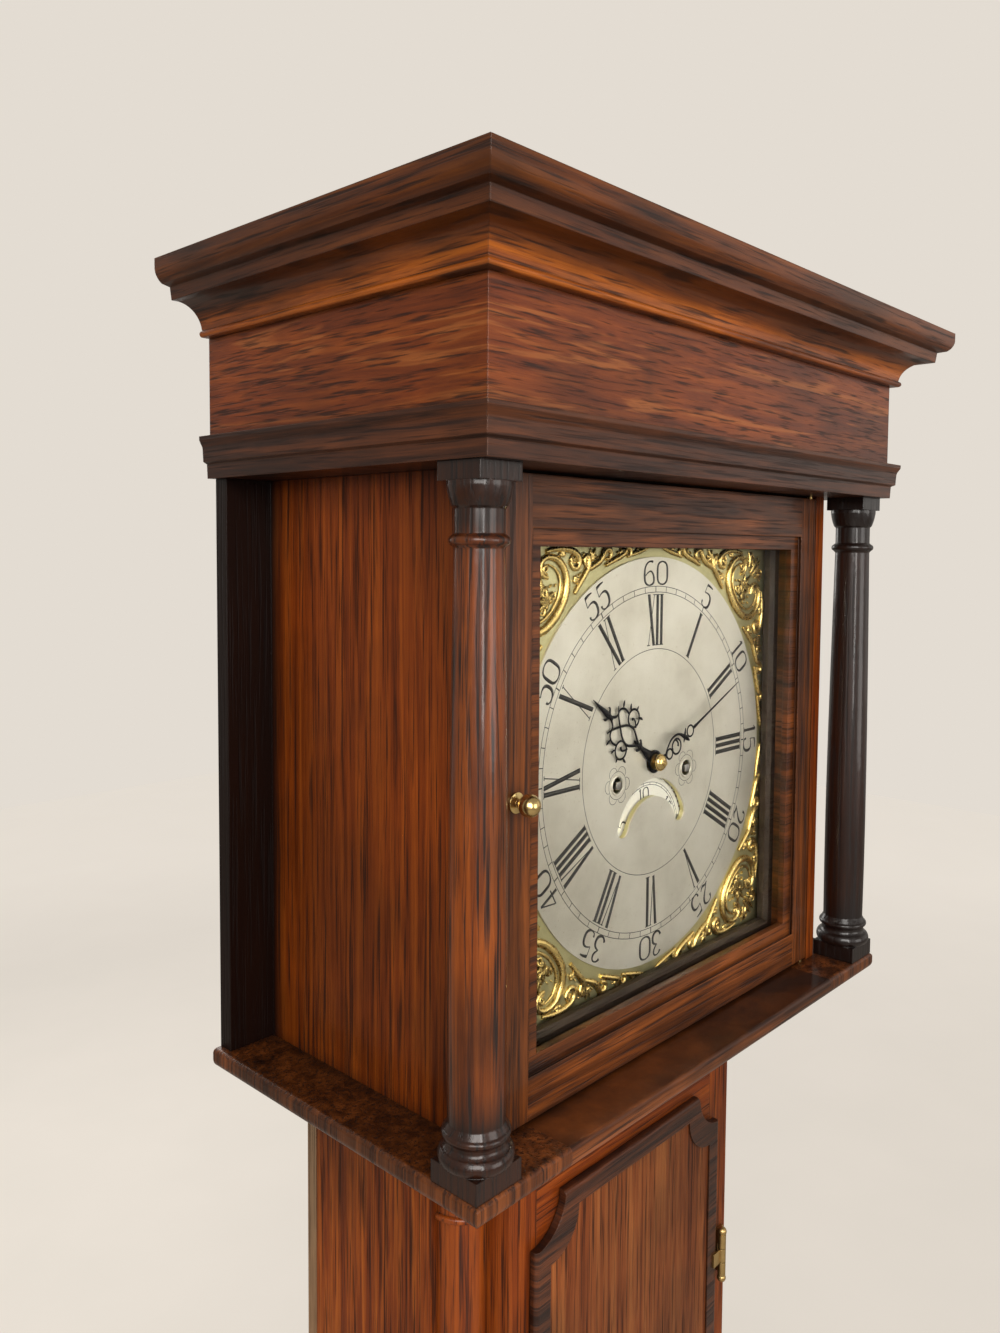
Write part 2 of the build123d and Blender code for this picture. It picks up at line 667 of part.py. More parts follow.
with BuildPart() as trunk_hinge_case:
    for z in hinge_heights:
        with BuildSketch(Plane.XY.offset(z - hinge_length / 2)):
            with Locations((hinge_x, hinge_y)):
                Circle(hinge_pin_r)
        extrude(amount=hinge_length)
        for low, high in ((z - hinge_length / 2, z - hinge_knuckle / 2 - body_gap / 2),
                          (z + hinge_knuckle / 2 + body_gap / 2, z + hinge_length / 2)):
            with BuildSketch(Plane.XY.offset(low)):
                with Locations((hinge_x, hinge_y)):
                    Circle(hinge_barrel_r)
                with Locations((hinge_x + hinge_barrel_r - 0.8, (hinge_y + trunk_front) / 2)):
                    Rectangle(hinge_leaf_thick, trunk_front - hinge_y)
            extrude(amount=high - low)
        with BuildSketch(Plane(origin=(hinge_x, trunk_front, z), x_dir=(1, 0, 0), z_dir=(0, -1, 0))):
            with Locations((hinge_barrel_r + 3.2, 0)):
                Rectangle(8.0, hinge_length)
        extrude(amount=hinge_leaf_thick)
        with Locations((hinge_x, hinge_y, z - hinge_length / 2 - 2.2), (hinge_x, hinge_y, z + hinge_length / 2 + 2.2)):
            Sphere(finial_r)
trunk_hinge_case.part.label = "trunk_hinge_case"
export_step(trunk_hinge_case.part, "parts/trunk_hinge_case.step")

# Lock and its escutcheon on the door's left
lock_x = -88.0
lock_z = 1010.0
panel_face = lip_front + 1.2
with BuildPart() as trunk_escutcheon:
    with BuildSketch(Plane(origin=(lock_x, panel_face, lock_z), x_dir=(1, 0, 0), z_dir=(0, -1, 0))):
        with Locations((0, 4.0)):
            Circle(5.2)
        with BuildLine():
            Polyline((-3.4, 0.6), (-5.6, -12.0), (0, -16.0), (5.6, -12.0), (3.4, 0.6), close=True)
        make_face()
        with Locations((0, 4.0)):
            Circle(1.9, mode=Mode.SUBTRACT)
        with Locations((0, -1.2)):
            Rectangle(1.8, 9.0, mode=Mode.SUBTRACT)
    extrude(amount=1.0)
trunk_escutcheon.part.label = "trunk_escutcheon"
export_step(trunk_escutcheon.part, "parts/trunk_escutcheon.step")

# Seat board with slots for the lines
pulley_line_r = pulley_r + line_r
line_gap = 0.3            # air between line and pulley or barrel
live_x = winding_x + barrel_r + line_gap + line_r
dead_x = live_x - 2 * pulley_line_r
pulley_x = live_x - pulley_line_r
line_y = plate_front + plate_thick + 8.7 + barrel_long / 2
pulley_z = weight_top + pulley_drop
slot_wide = 14.0
with BuildPart() as seat_board:
    with BuildSketch(Plane.XY.offset(cheek_top)):
        with Locations((0, (plate_front - 6.0 + plate_back + plate_thick + 3.0) / 2)):
            Rectangle(2 * trunk_half, plate_back + plate_thick + 9.0 - plate_front)
        with Locations(*[(s * live_x, line_y) for s in (-1, 1)]):
            Rectangle(slot_wide, barrel_long, mode=Mode.SUBTRACT)
        with Locations(*[(s * dead_x, line_y) for s in (-1, 1)]):
            Circle(line_r + 0.6, mode=Mode.SUBTRACT)
    extrude(amount=seat_thick)
seat_board.part.label = "seat_board"
export_step(seat_board.part, "parts/seat_board.step")

# Wheel train: tooth counts of an eight-day clock
great_teeth = 96
centre_leaves = 8
centre_teeth = 60
third_leaves = 8
third_teeth = 56
escape_leaves = 7
escape_teeth = 30
motion_teeth = 36
motion_leaves = 6
hour_teeth = 72
wheel_thick = 1.8
arbor_r = 1.6
third_module = 0.7
escape_module = 0.65
great_apart = sqrt(winding_x ** 2 + winding_drop ** 2)
great_module = 2 * great_apart / (great_teeth + centre_leaves)
third_apart = third_module * (centre_teeth + third_leaves) / 2
escape_apart = escape_module * (third_teeth + escape_leaves) / 2
third_x = 9.0
third_z = dial_height + sqrt(third_apart ** 2 - third_x ** 2)
escape_z = third_z + sqrt(escape_apart ** 2 - third_x ** 2)
escape_r = 17.0
pallet_z = escape_z + escape_r * sqrt(2)
pendulum_top = pallet_z
motion_module = 0.8
motion_apart = motion_module * motion_teeth
hour_module = 2 * motion_apart / (hour_teeth + motion_leaves)
stud_z = dial_height + motion_apart
great_y = plate_front + plate_thick + 5.0
third_y = great_y + 28.0
escape_y = third_y + 8.0
centre_y = great_y + 47.0


def gear_plane(x, y, z):
    """wheel plane facing the viewer, its back at y"""
    return Plane(origin=(x, y, z), x_dir=(1, 0, 0), z_dir=(0, -1, 0))


def gear_face(teeth, module, phase, bore):
    """toothed wheel or pinion; phase turns its first tooth, in degrees, against the clock"""
    pitch = module * teeth / 2
    slim = teeth < 12
    tip = pitch + (0.70 if slim else 0.80) * module
    root = pitch - (1.25 if slim else 1.15) * module
    low = root - 0.25 * module
    share = radians(180.0 / teeth)
    foot_wide = low * share * (0.44 if slim else 0.60)
    pitch_wide = pitch * share * (0.34 if slim else 0.40)
    tip_wide = tip * share * (0.14 if slim else 0.16)
    with BuildSketch() as tooth:
        with BuildLine():
            Polyline((low, -foot_wide), (pitch, -pitch_wide), (tip, -tip_wide), (tip, tip_wide),
                     (pitch, pitch_wide), (low, foot_wide), close=True)
        make_face()
    with BuildSketch() as drawn:
        Circle(root)
        with PolarLocations(0, teeth, start_angle=phase):
            add(tooth.sketch)
        Circle(bore, mode=Mode.SUBTRACT)
    return drawn.sketch


def drilled_plate(back):
    """movement plate with a pivot hole for each arbor"""
    with BuildPart() as made:
        with BuildSketch(gear_plane(0, back, 0)):
            with Locations((0, plate_low + plate_tall / 2)):
                RectangleRounded(plate_wide, plate_tall, 4.0)
            with Locations((0, dial_height), (third_x, third_z), (0, escape_z), (0, pallet_z)):
                Circle(arbor_r + shaft_fit, mode=Mode.SUBTRACT)
            with Locations((-winding_x, barrel_z), (winding_x, barrel_z)):
                Circle(winding_arbor_r + shaft_fit, mode=Mode.SUBTRACT)
        extrude(amount=plate_thick)
    return made.part


group("movement_plates", [drilled_plate(plate_front + plate_thick), drilled_plate(plate_back + plate_thick)])

pillar_inset = 12.0
pillar_places = [(s * (plate_wide / 2 - 2 * pillar_inset), z)
                 for s in (-1, 1)
                 for z in (plate_low + pillar_inset, plate_low + plate_tall - pillar_inset)]
with BuildPart() as pillars:
    for x, z in pillar_places:
        with BuildSketch(Plane(origin=(x, 0, z), x_dir=(1, 0, 0), z_dir=(0, 0, 1))):
            with BuildLine():
                start = plate_front + plate_thick
                front_end = Polyline((0, start), (pillar_r + 2.0, start), (pillar_r + 2.0, start + 3.0),
                                     (pillar_r - 1.2, start + 6.0), (pillar_r - 1.2, start + 26.0),
                                     (pillar_r + 1.4, start + 29.0))
                knop = ThreePointArc(front_end @ 1, (pillar_r + 3.4, (start + plate_back) / 2),
                                     (pillar_r + 1.4, plate_back - 29.0))
                Polyline(knop @ 1, (pillar_r - 1.2, plate_back - 26.0), (pillar_r - 1.2, plate_back - 6.0),
                         (pillar_r + 2.0, plate_back - 3.0), (pillar_r + 2.0, plate_back), (0, plate_back),
                         front_end @ 0)
            make_face()
        revolve(axis=Axis((x, 0, z), (0, 1, 0)))
pillars.part.label = "pillars"
export_step(pillars.part, "parts/pillars.step")

# Dial: brass plate, silvered disc, corner castings, feet, and the date disc behind its window


def date_window(inner, outer, start, drop):
    """arched slot with round ends, its centre below the dial's centre"""
    middle = (inner + outer) / 2
    half = (outer - inner) / 2
    with BuildSketch() as drawn:
        with Locations((0, -drop)):
            Circle(outer)
            Circle(inner, mode=Mode.SUBTRACT)
        for a in (start, 180.0 - start):
            with Locations((0, -drop)):
                with Locations((middle * cos(radians(a)), middle * sin(radians(a)))):
                    Circle(half)
        with BuildLine():
            reach = 3.0 * outer
            Polyline((0, -drop), (reach * cos(radians(start)), reach * sin(radians(start)) - drop),
                     (reach, -reach - drop), (-reach, -reach - drop),
                     (-reach * cos(radians(start)), reach * sin(radians(start)) - drop), close=True)
        make_face(mode=Mode.SUBTRACT)
        for a in (start, 180.0 - start):
            with Locations((middle * cos(radians(a)), middle * sin(radians(a)) - drop)):
                Circle(half)
    return drawn.sketch


winding_places = [(-winding_x, -winding_drop), (winding_x, -winding_drop)]
with BuildPart() as dial_plate:
    with BuildSketch(gear_plane(0, dial_back, dial_height)):
        Rectangle(dial_side, dial_side)
        Circle(centre_hole_r, mode=Mode.SUBTRACT)
        with Locations(*winding_places):
            Circle(winding_hole_r, mode=Mode.SUBTRACT)
        add(date_window(date_inner, date_outer, date_start, date_drop), mode=Mode.SUBTRACT)
    extrude(amount=dial_thick)
dial_plate.part.label = "dial_plate"
export_step(dial_plate.part, "parts/dial_plate.step")

chapter_front = dial_front - disc_thick
with BuildPart() as chapter_disc:
    with BuildSketch(gear_plane(0, dial_front, dial_height)):
        Circle(disc_r)
        Circle(centre_hole_r, mode=Mode.SUBTRACT)
        with Locations(*winding_places):
            Circle(winding_hole_r, mode=Mode.SUBTRACT)
        add(date_window(date_inner, date_outer, date_start, date_drop), mode=Mode.SUBTRACT)
    extrude(amount=disc_thick)
chapter_disc.part.label = "chapter_disc"
export_step(chapter_disc.part, "parts/chapter_disc.step")

# each casting: radius from the dial's centre, turn from the diagonal, size of the round
scroll_places = [(disc_r + 19.0, 9.5, 12.5), (disc_r + 13.5, 19.5, 7.6)]
leaf_places = [(disc_r + 6.6, 27.5, 3.8), (disc_r + 31.0, 4.0, 9.5), (disc_r + 40.0, 0.0, 9.0),
               (disc_r + 52.5, 0.0, 4.6)]
scroll_eye = 0.47
with BuildPart() as spandrels:
    for corner in (45, 135, 225, 315):
        with BuildSketch(gear_plane(0, dial_front, dial_height)):
            for reach, turn, outer in scroll_places + leaf_places:
                for s in (-1, 1):
                    a = radians(corner + s * turn)
                    with Locations((reach * cos(a), reach * sin(a))):
                        Circle(outer)
            with BuildLine():
                inner_arc = CenterArc((0, 0), disc_r + 1.6, corner - 29.0, 58.0)
                outer_arc = CenterArc((0, 0), disc_r + 9.0, corner - 27.0, 54.0)
                Line(inner_arc @ 0, outer_arc @ 0)
                Line(inner_arc @ 1, outer_arc @ 1)
            make_face()
            for reach, turn, outer in scroll_places:
                for s in (-1, 1):
                    a = radians(corner + s * turn)
                    with Locations((reach * cos(a), reach * sin(a))):
                        Circle(outer * scroll_eye, mode=Mode.SUBTRACT)
            Circle(disc_r + 1.0, mode=Mode.SUBTRACT)
        extrude(amount=spandrel_thick)
spandrels.part.label = "spandrels"
export_step(spandrels.part, "parts/spandrels.step")

date_teeth = 62
date_front = dial_back + 1.0
with BuildPart() as date_disc:
    with BuildSketch(gear_plane(0, date_front + 1.0, dial_height - date_drop)):
        add(gear_face(date_teeth, 2 * (date_disc_r - 0.9) / date_teeth, 0.0, 2.0 + shaft_fit))
    extrude(amount=1.0)
date_disc.part.label = "date_disc"
export_step(date_disc.part, "parts/date_disc.step")

# Hands, pointing from the dial's centre; turned to the time with a clockwise angle
hour_back = chapter_front - 0.8
hand_thick = 1.2
minute_back = hour_back - hand_thick - 2.6


def serpentine_hand(reach, boss, width, waves):
    """pierced hand: a boss, a winding blade with openings, and a slender tip"""
    with BuildSketch() as drawn:
        Circle(boss)
        steps = 4 * waves
        blade = 0.62 * reach
        sway = 0.42 * width
        with BuildLine():
            right = [(sway * sin(2 * pi * waves * i / steps) + width * (0.5 - 0.30 * i / steps),
                      boss * 0.6 + (blade - boss * 0.6) * i / steps) for i in range(steps + 1)]
            left = [(sway * sin(2 * pi * waves * i / steps) - width * (0.5 - 0.30 * i / steps),
                     boss * 0.6 + (blade - boss * 0.6) * i / steps) for i in range(steps + 1)]
            edge_right = Spline(*right)
            edge_left = Spline(*left)
            Polyline(edge_right @ 1, (0.7, reach * 0.80), (0, reach), (-0.7, reach * 0.80), edge_left @ 1)
            Line(edge_left @ 0, edge_right @ 0)
        make_face()
        with Locations((0, reach * 0.66)):
            Circle(width * 0.34)
        for i in range(waves):
            with Locations((sway * sin(2 * pi * (i + 0.5)), boss + (blade - boss) * (i + 0.62) / waves)):
                Circle(width * (0.17 - 0.03 * i), mode=Mode.SUBTRACT)
    return drawn.sketch


cannon_r = 3.2
pipe_r = 5.4
minute_boss = 6.4
hour_boss = 8.4
hour_hand_wide = 11.0
minute_hand_wide = 9.0
with BuildPart() as hour_hand:
    with BuildSketch(gear_plane(0, hour_back, dial_height)):
        add(serpentine_hand(hour_hand_reach, hour_boss, hour_hand_wide, 2).rotate(Axis.Z, -hour_turn))
        Circle(pipe_r, mode=Mode.SUBTRACT)
    extrude(amount=hand_thick)
hour_hand.part.label = "hour_hand"
export_step(hour_hand.part, "parts/hour_hand.step")

with BuildPart() as minute_hand:
    with BuildSketch(gear_plane(0, minute_back, dial_height)):
        add(serpentine_hand(minute_hand_reach, minute_boss, minute_hand_wide, 3).rotate(Axis.Z, -minute_turn))
        Circle(cannon_r, mode=Mode.SUBTRACT)
    extrude(amount=hand_thick)
minute_hand.part.label = "minute_hand"
export_step(minute_hand.part, "parts/minute_hand.step")

cannon_back = plate_front - 4.0
hour_wheel_back = cannon_back - wheel_thick - 5.0
with BuildPart() as cannon_wheel:
    with BuildSketch(gear_plane(0, cannon_back, dial_height)):
        add(gear_face(motion_teeth, motion_module, 90.0, arbor_r))
    extrude(amount=wheel_thick)
    with BuildSketch(gear_plane(0, cannon_back, dial_height)):
        Circle(cannon_r)
        Circle(arbor_r, mode=Mode.SUBTRACT)
    extrude(amount=cannon_back - minute_back + hand_thick + 0.6)
    # domed collet in front of the minute hand
    with BuildSketch(gear_plane(0, minute_back - hand_thick, dial_height)):
        Circle(5.2)
        Circle(arbor_r, mode=Mode.SUBTRACT)
    extrude(amount=2.2, taper=35)
cannon_wheel.part.label = "cannon_wheel"
export_step(cannon_wheel.part, "parts/cannon_wheel.step")

with BuildPart() as hour_wheel:
    with BuildSketch(gear_plane(0, hour_wheel_back, dial_height)):
        add(gear_face(hour_teeth, hour_module, 90.0, cannon_r + shaft_fit))
    extrude(amount=wheel_thick)
    with BuildSketch(gear_plane(0, hour_wheel_back, dial_height)):
        Circle(pipe_r)
        Circle(cannon_r + shaft_fit, mode=Mode.SUBTRACT)
    extrude(amount=hour_wheel_back - hour_back + hand_thick + 0.4)
hour_wheel.part.label = "hour_wheel"
export_step(hour_wheel.part, "parts/hour_wheel.step")

stud_r = 1.8
with BuildPart() as minute_wheel:
    with BuildSketch(gear_plane(0, cannon_back, stud_z)):
        add(gear_face(motion_teeth, motion_module, 270.0 + 180.0 / motion_teeth, stud_r + shaft_fit))
    extrude(amount=wheel_thick)
    with BuildSketch(gear_plane(0, cannon_back - wheel_thick, stud_z)):
        add(gear_face(motion_leaves, hour_module, 270.0 + 180.0 / motion_leaves, 0.9))
    extrude(amount=5.0 + wheel_thick + 0.6)
    with BuildSketch(gear_plane(0, cannon_back, stud_z)):
        Circle(stud_r + shaft_fit)
    extrude(amount=wheel_thick + 0.2, mode=Mode.SUBTRACT)
minute_wheel.part.label = "minute_wheel"
export_step(minute_wheel.part, "parts/minute_wheel.step")

foot_out = 58.0           # the four dial feet, from the dial's centre
foot_down = 84.0
foot_up = 60.0
foot_places = [(s * foot_out, dial_height + z) for s in (-1, 1) for z in (-foot_down, foot_up)]
with BuildPart() as dial_posts:
    with BuildSketch(gear_plane(0, plate_front, 0)):
        with Locations(*foot_places):
            Circle(3.6)
        with Locations((0, dial_height - date_drop)):
            Circle(2.0)
    extrude(amount=plate_front - dial_back)
    with BuildSketch(gear_plane(0, plate_front, dial_height - date_drop)):
        Circle(4.5)
    extrude(amount=plate_front - date_front - 1.0 - body_gap)
    with BuildSketch(gear_plane(0, plate_front, stud_z)):
        Circle(stud_r + 1.6)
    extrude(amount=plate_front - cannon_back - body_gap)
    with BuildSketch(gear_plane(0, plate_front, stud_z)):
        Circle(stud_r)
    extrude(amount=plate_front - cannon_back + wheel_thick - 0.2)
dial_posts.part.label = "dial_posts"
export_step(dial_posts.part, "parts/dial_posts.step")

# Going train arbors
centre_to_great = degrees(atan2(-winding_drop, winding_x))
centre_to_third = degrees(atan2(third_z - dial_height, third_x))
third_to_escape = degrees(atan2(escape_z - third_z, -third_x))
with BuildPart() as centre_arbor:
    with BuildSketch(gear_plane(0, plate_back + plate_thick - 0.4, dial_height)):
        Circle(arbor_r)
    extrude(amount=plate_back + plate_thick - minute_back + hand_thick + 4.6)
    with BuildSketch(gear_plane(0, great_y + 3.4, dial_height)):
        add(gear_face(centre_leaves, great_module, centre_to_great, 0.5))
    extrude(amount=5.6)
    with BuildSketch(gear_plane(0, centre_y, dial_height)):
        add(gear_face(centre_teeth, third_module, centre_to_third, 0.5))
        with PolarLocations(12.0, 4):
            Circle(5.6, mode=Mode.SUBTRACT)
    extrude(amount=wheel_thick)
centre_arbor.part.label = "centre_arbor"
export_step(centre_arbor.part, "parts/centre_arbor.step")

with BuildPart() as third_arbor:
    with BuildSketch(gear_plane(third_x, plate_back + plate_thick - 0.4, third_z)):
        Circle(arbor_r)
    extrude(amount=plate_apart + 2 * plate_thick - 0.8)
    with BuildSketch(gear_plane(third_x, centre_y + 2.0, third_z)):
        add(gear_face(third_leaves, third_module, centre_to_third + 180.0 + 180.0 / third_leaves, 0.5))
    extrude(amount=6.0)
    with BuildSketch(gear_plane(third_x, third_y, third_z)):
        add(gear_face(third_teeth, escape_module, third_to_escape, 0.5))
        with PolarLocations(10.4, 4):
            Circle(4.8, mode=Mode.SUBTRACT)
    extrude(amount=wheel_thick)
third_arbor.part.label = "third_arbor"
export_step(third_arbor.part, "parts/third_arbor.step")

escape_rim = 4.2
with BuildSketch() as escape_tooth:
    with BuildLine():
        hook = escape_r - escape_rim - 0.6
        Polyline((hook, -1.3), (escape_r, 0.9), (escape_r - 0.1, 1.3), (hook, 1.1), close=True)
    make_face()
with BuildPart() as escape_arbor:
    with BuildSketch(gear_plane(0, plate_back + plate_thick - 0.4, escape_z)):
        Circle(arbor_r)
    extrude(amount=plate_apart + 2 * plate_thick - 0.8)
    with BuildSketch(gear_plane(0, third_y + 2.0, escape_z)):
        add(gear_face(escape_leaves, escape_module, third_to_escape + 180.0 + 180.0 / escape_leaves, 0.5))
    extrude(amount=6.0)
    with BuildSketch(gear_plane(0, escape_y, escape_z)):
        Circle(escape_r - escape_rim)
        with PolarLocations(0, escape_teeth):
            add(escape_tooth.sketch)
        with PolarLocations(8.2, 4):
            Circle(3.2, mode=Mode.SUBTRACT)
    extrude(amount=1.4)
escape_arbor.part.label = "escape_arbor"
export_step(escape_arbor.part, "parts/escape_arbor.step")


# The going wheel meshes with the centre pinion; the striking side's is smaller and clears it
strike_teeth = 84
for side, name, teeth in ((1, "great_wheel", great_teeth), (-1, "strike_wheel", strike_teeth)):
    with BuildPart() as wheel:
        with BuildSketch(gear_plane(side * winding_x, great_y, barrel_z)):
            meshed = centre_to_great + 180.0 + 180.0 / great_teeth
            add(gear_face(teeth, great_module, meshed, winding_arbor_r + shaft_fit))
        extrude(amount=2.2)
    wheel.part.label = name
    export_step(wheel.part, "parts/" + name + ".step")

# Barrels on winding arbors that end in squares behind the dial's holes
barrel_start = great_y + 0.6
square_side = 5.0
flange = 1.6
for side, name in ((1, "going_barrel"), (-1, "strike_barrel")):
    with BuildPart() as barrel:
        with BuildSketch(gear_plane(side * winding_x, plate_back + plate_thick - 0.4, barrel_z)):
            Circle(winding_arbor_r)
        extrude(amount=plate_back + plate_thick - plate_front + 3.0)
        with BuildSketch(gear_plane(side * winding_x, plate_front - 2.0, barrel_z)):
            Rectangle(square_side, square_side)
        extrude(amount=plate_front - 2.0 - chapter_front + 1.2)
        with BuildSketch(Plane(origin=(side * winding_x, 0, barrel_z), x_dir=(1, 0, 0), z_dir=(0, 0, 1))):
            with BuildLine():
                Polyline((0, barrel_start), (barrel_r + 2.4, barrel_start),
                         (barrel_r + 2.4, barrel_start + flange), (barrel_r, barrel_start + flange),
                         (barrel_r, barrel_start + barrel_long - flange),
                         (barrel_r + 2.4, barrel_start + barrel_long - flange),
                         (barrel_r + 2.4, barrel_start + barrel_long), (0, barrel_start + barrel_long),
                         close=True)
            make_face()
        revolve(axis=Axis((side * winding_x, 0, barrel_z), (0, 1, 0)))
    barrel.part.label = name
    export_step(barrel.part, "parts/" + name + ".step")

# Weights on pulleys, each hung in a double fall of gut line
axle_r = 2.0
cheek_apart = pulley_thick + 2 * body_gap
cheek_thick = 1.8
cheek_wide = 9.0
for side, name, wheel_name, line_name in ((1, "going_weight", "going_pulley", "going_line"),
                                          (-1, "strike_weight", "strike_pulley", "strike_line")):
    with BuildPart() as weight:
        with BuildSketch(Plane(origin=(side * pulley_x, line_y, 0), x_dir=(1, 0, 0), z_dir=(0, -1, 0))):
            with BuildLine():
                base = Polyline((0, weight_top - weight_long), (weight_r - 3.0, weight_top - weight_long))
                low = RadiusArc(base @ 1, (weight_r, weight_top - weight_long + 3.0), -3.0)
                wall = Line(low @ 1, (weight_r, weight_top - 7.0))
                shoulder = ThreePointArc(wall @ 1, (weight_r - 2.4, weight_top - 2.2), (weight_r - 8.0, weight_top))
                Polyline(shoulder @ 1, (0, weight_top), base @ 0)
            make_face()
        revolve(axis=Axis((side * pulley_x, line_y, 0), (0, 0, 1)))
        for s in (-1, 1):
            with BuildSketch(gear_plane(side * pulley_x, line_y + s * (cheek_apart + cheek_thick) / 2
                                        + cheek_thick / 2, 0)):
                with BuildLine():
                    cheek_base = Polyline((-cheek_wide / 2, pulley_z), (-cheek_wide / 2, weight_top - 1.0),
                                          (cheek_wide / 2, weight_top - 1.0), (cheek_wide / 2, pulley_z))
                    ThreePointArc(cheek_base @ 1, (0, pulley_z + cheek_wide / 2), cheek_base @ 0)
                make_face()
            extrude(amount=cheek_thick)
        with BuildSketch(gear_plane(side * pulley_x, line_y + cheek_apart / 2 + cheek_thick, pulley_z)):
            Circle(axle_r)
        extrude(amount=cheek_apart + 2 * cheek_thick)
    weight.part.label = name
    export_step(weight.part, "parts/" + name + ".step")

    groove = pulley_r - line_gap
    with BuildPart() as pulley:
        with BuildSketch(Plane(origin=(side * pulley_x, line_y, pulley_z), x_dir=(1, 0, 0), z_dir=(0, 0, 1))):
            half = pulley_thick / 2
            hole = axle_r + shaft_fit
            with BuildLine():
                rim = Polyline((hole, -half), (pulley_r + 2.0, -half), (pulley_r + 2.0, -half + 1.0))
                dip = ThreePointArc(rim @ 1, (groove, 0), (pulley_r + 2.0, half - 1.0))
                Polyline(dip @ 1, (pulley_r + 2.0, half), (hole, half), rim @ 0)
            make_face()
        revolve(axis=Axis((side * pulley_x, line_y, pulley_z), (0, 1, 0)))
        with BuildSketch(gear_plane(side * pulley_x, line_y + half, pulley_z)):
            with PolarLocations(11.5, 4):
                Circle(4.4)
        extrude(amount=pulley_thick, mode=Mode.SUBTRACT)
    pulley.part.label = wheel_name
    export_step(pulley.part, "parts/" + wheel_name + ".step")

    with BuildPart() as line:
        with BuildSketch(Plane.XY.offset(pulley_z)):
            with Locations((side * live_x, line_y), (side * dead_x, line_y)):
                Circle(line_r)
        extrude(amount=cheek_top - pulley_z)
    line.part.label = line_name
    export_step(line.part, "parts/" + line_name + ".step")

# Upper stretches: from each barrel through the seat board, and a knot where the fixed end is tied
with BuildPart() as line_tops:
    for side in (-1, 1):
        with BuildSketch(Plane.XY.offset(cheek_top)):
            with Locations((side * live_x, line_y)):
                Circle(line_r)
        extrude(amount=barrel_z - cheek_top)
        with BuildSketch(Plane.XY.offset(cheek_top)):
            with Locations((side * dead_x, line_y)):
                Circle(line_r)
        extrude(amount=seat_thick)
        with BuildSketch(Plane.XY.offset(seat_top)):
            with Locations((side * dead_x, line_y)):
                Circle(3 * line_r)
        extrude(amount=3.0)
line_tops.part.label = "line_tops"
export_step(line_tops.part, "parts/line_tops.step")

# Pendulum: feather, rod, lenticular bob and rating nut; the cock carries it behind the back plate
cock_y = plate_back + plate_thick
bob_z = pendulum_top - pendulum_length
with BuildPart() as pendulum_cock:
    with BuildSketch(Plane.YZ.offset(-9.0)):
        with BuildLine():
            Polyline((cock_y, pallet_z - 14.0), (cock_y, pallet_z + 12.0), (pendulum_y + 5.0, pallet_z + 12.0),
                     (pendulum_y + 5.0, pallet_z + 4.0), (cock_y + 4.0, pallet_z + 4.0),
                     (cock_y + 4.0, pallet_z - 14.0), close=True)
        make_face()
    extrude(amount=18.0)
    with BuildSketch(gear_plane(0, cock_y + 6.0, pallet_z)):
        Circle(arbor_r + 2.0)
    extrude(amount=8.0, mode=Mode.SUBTRACT)
pendulum_cock.part.label = "pendulum_cock"
export_step(pendulum_cock.part, "parts/pendulum_cock.step")

rod_r = 2.2
rod_low = bob_z - bob_r - 16.0
with BuildPart() as pendulum_rod:
    with BuildSketch(Plane.XY.offset(pallet_z - 22.0)):
        with Locations((0, pendulum_y)):
            Rectangle(5.0, 0.8)
    extrude(amount=22.0 + 4.0 - body_gap)
    with BuildSketch(Plane.XY.offset(pallet_z - 34.0)):
        with Locations((0, pendulum_y)):
            Rectangle(8.0, 5.0)
    extrude(amount=12.0)
    with BuildSketch(Plane.XY.offset(rod_low)):
        with Locations((0, pendulum_y)):
            Circle(rod_r)
    extrude(amount=pallet_z - 34.0 - rod_low)
pendulum_rod.part.label = "pendulum_rod"
export_step(pendulum_rod.part, "parts/pendulum_rod.step")

with BuildPart() as pendulum_bob:
    with BuildSketch(Plane(origin=(0, pendulum_y, bob_z), x_dir=(1, 0, 0), z_dir=(0, 0, 1))):
        with BuildLine():
            front_face = ThreePointArc((0, -bob_thick / 2), (bob_r * 0.6, -bob_thick * 0.38), (bob_r, -1.4))
            rim = Line(front_face @ 1, (bob_r, 1.4))
            back_face = ThreePointArc(rim @ 1, (bob_r * 0.6, bob_thick * 0.38), (0, bob_thick / 2))
            Line(back_face @ 1, front_face @ 0)
        make_face()
    revolve(axis=Axis((0, pendulum_y, bob_z), (0, 1, 0)))
    with BuildSketch(Plane.XY.offset(bob_z - bob_r - 12.0)):
        with Locations((0, pendulum_y)):
            RegularPolygon(6.0, 12)
    extrude(amount=8.0)
    with BuildSketch(Plane.XY.offset(bob_z - bob_r - 20.0)):
        with Locations((0, pendulum_y)):
            Circle(rod_r)
    extrude(amount=2 * bob_r + 40.0, mode=Mode.SUBTRACT)
pendulum_bob.part.label = "pendulum_bob"
export_step(pendulum_bob.part, "parts/pendulum_bob.step")

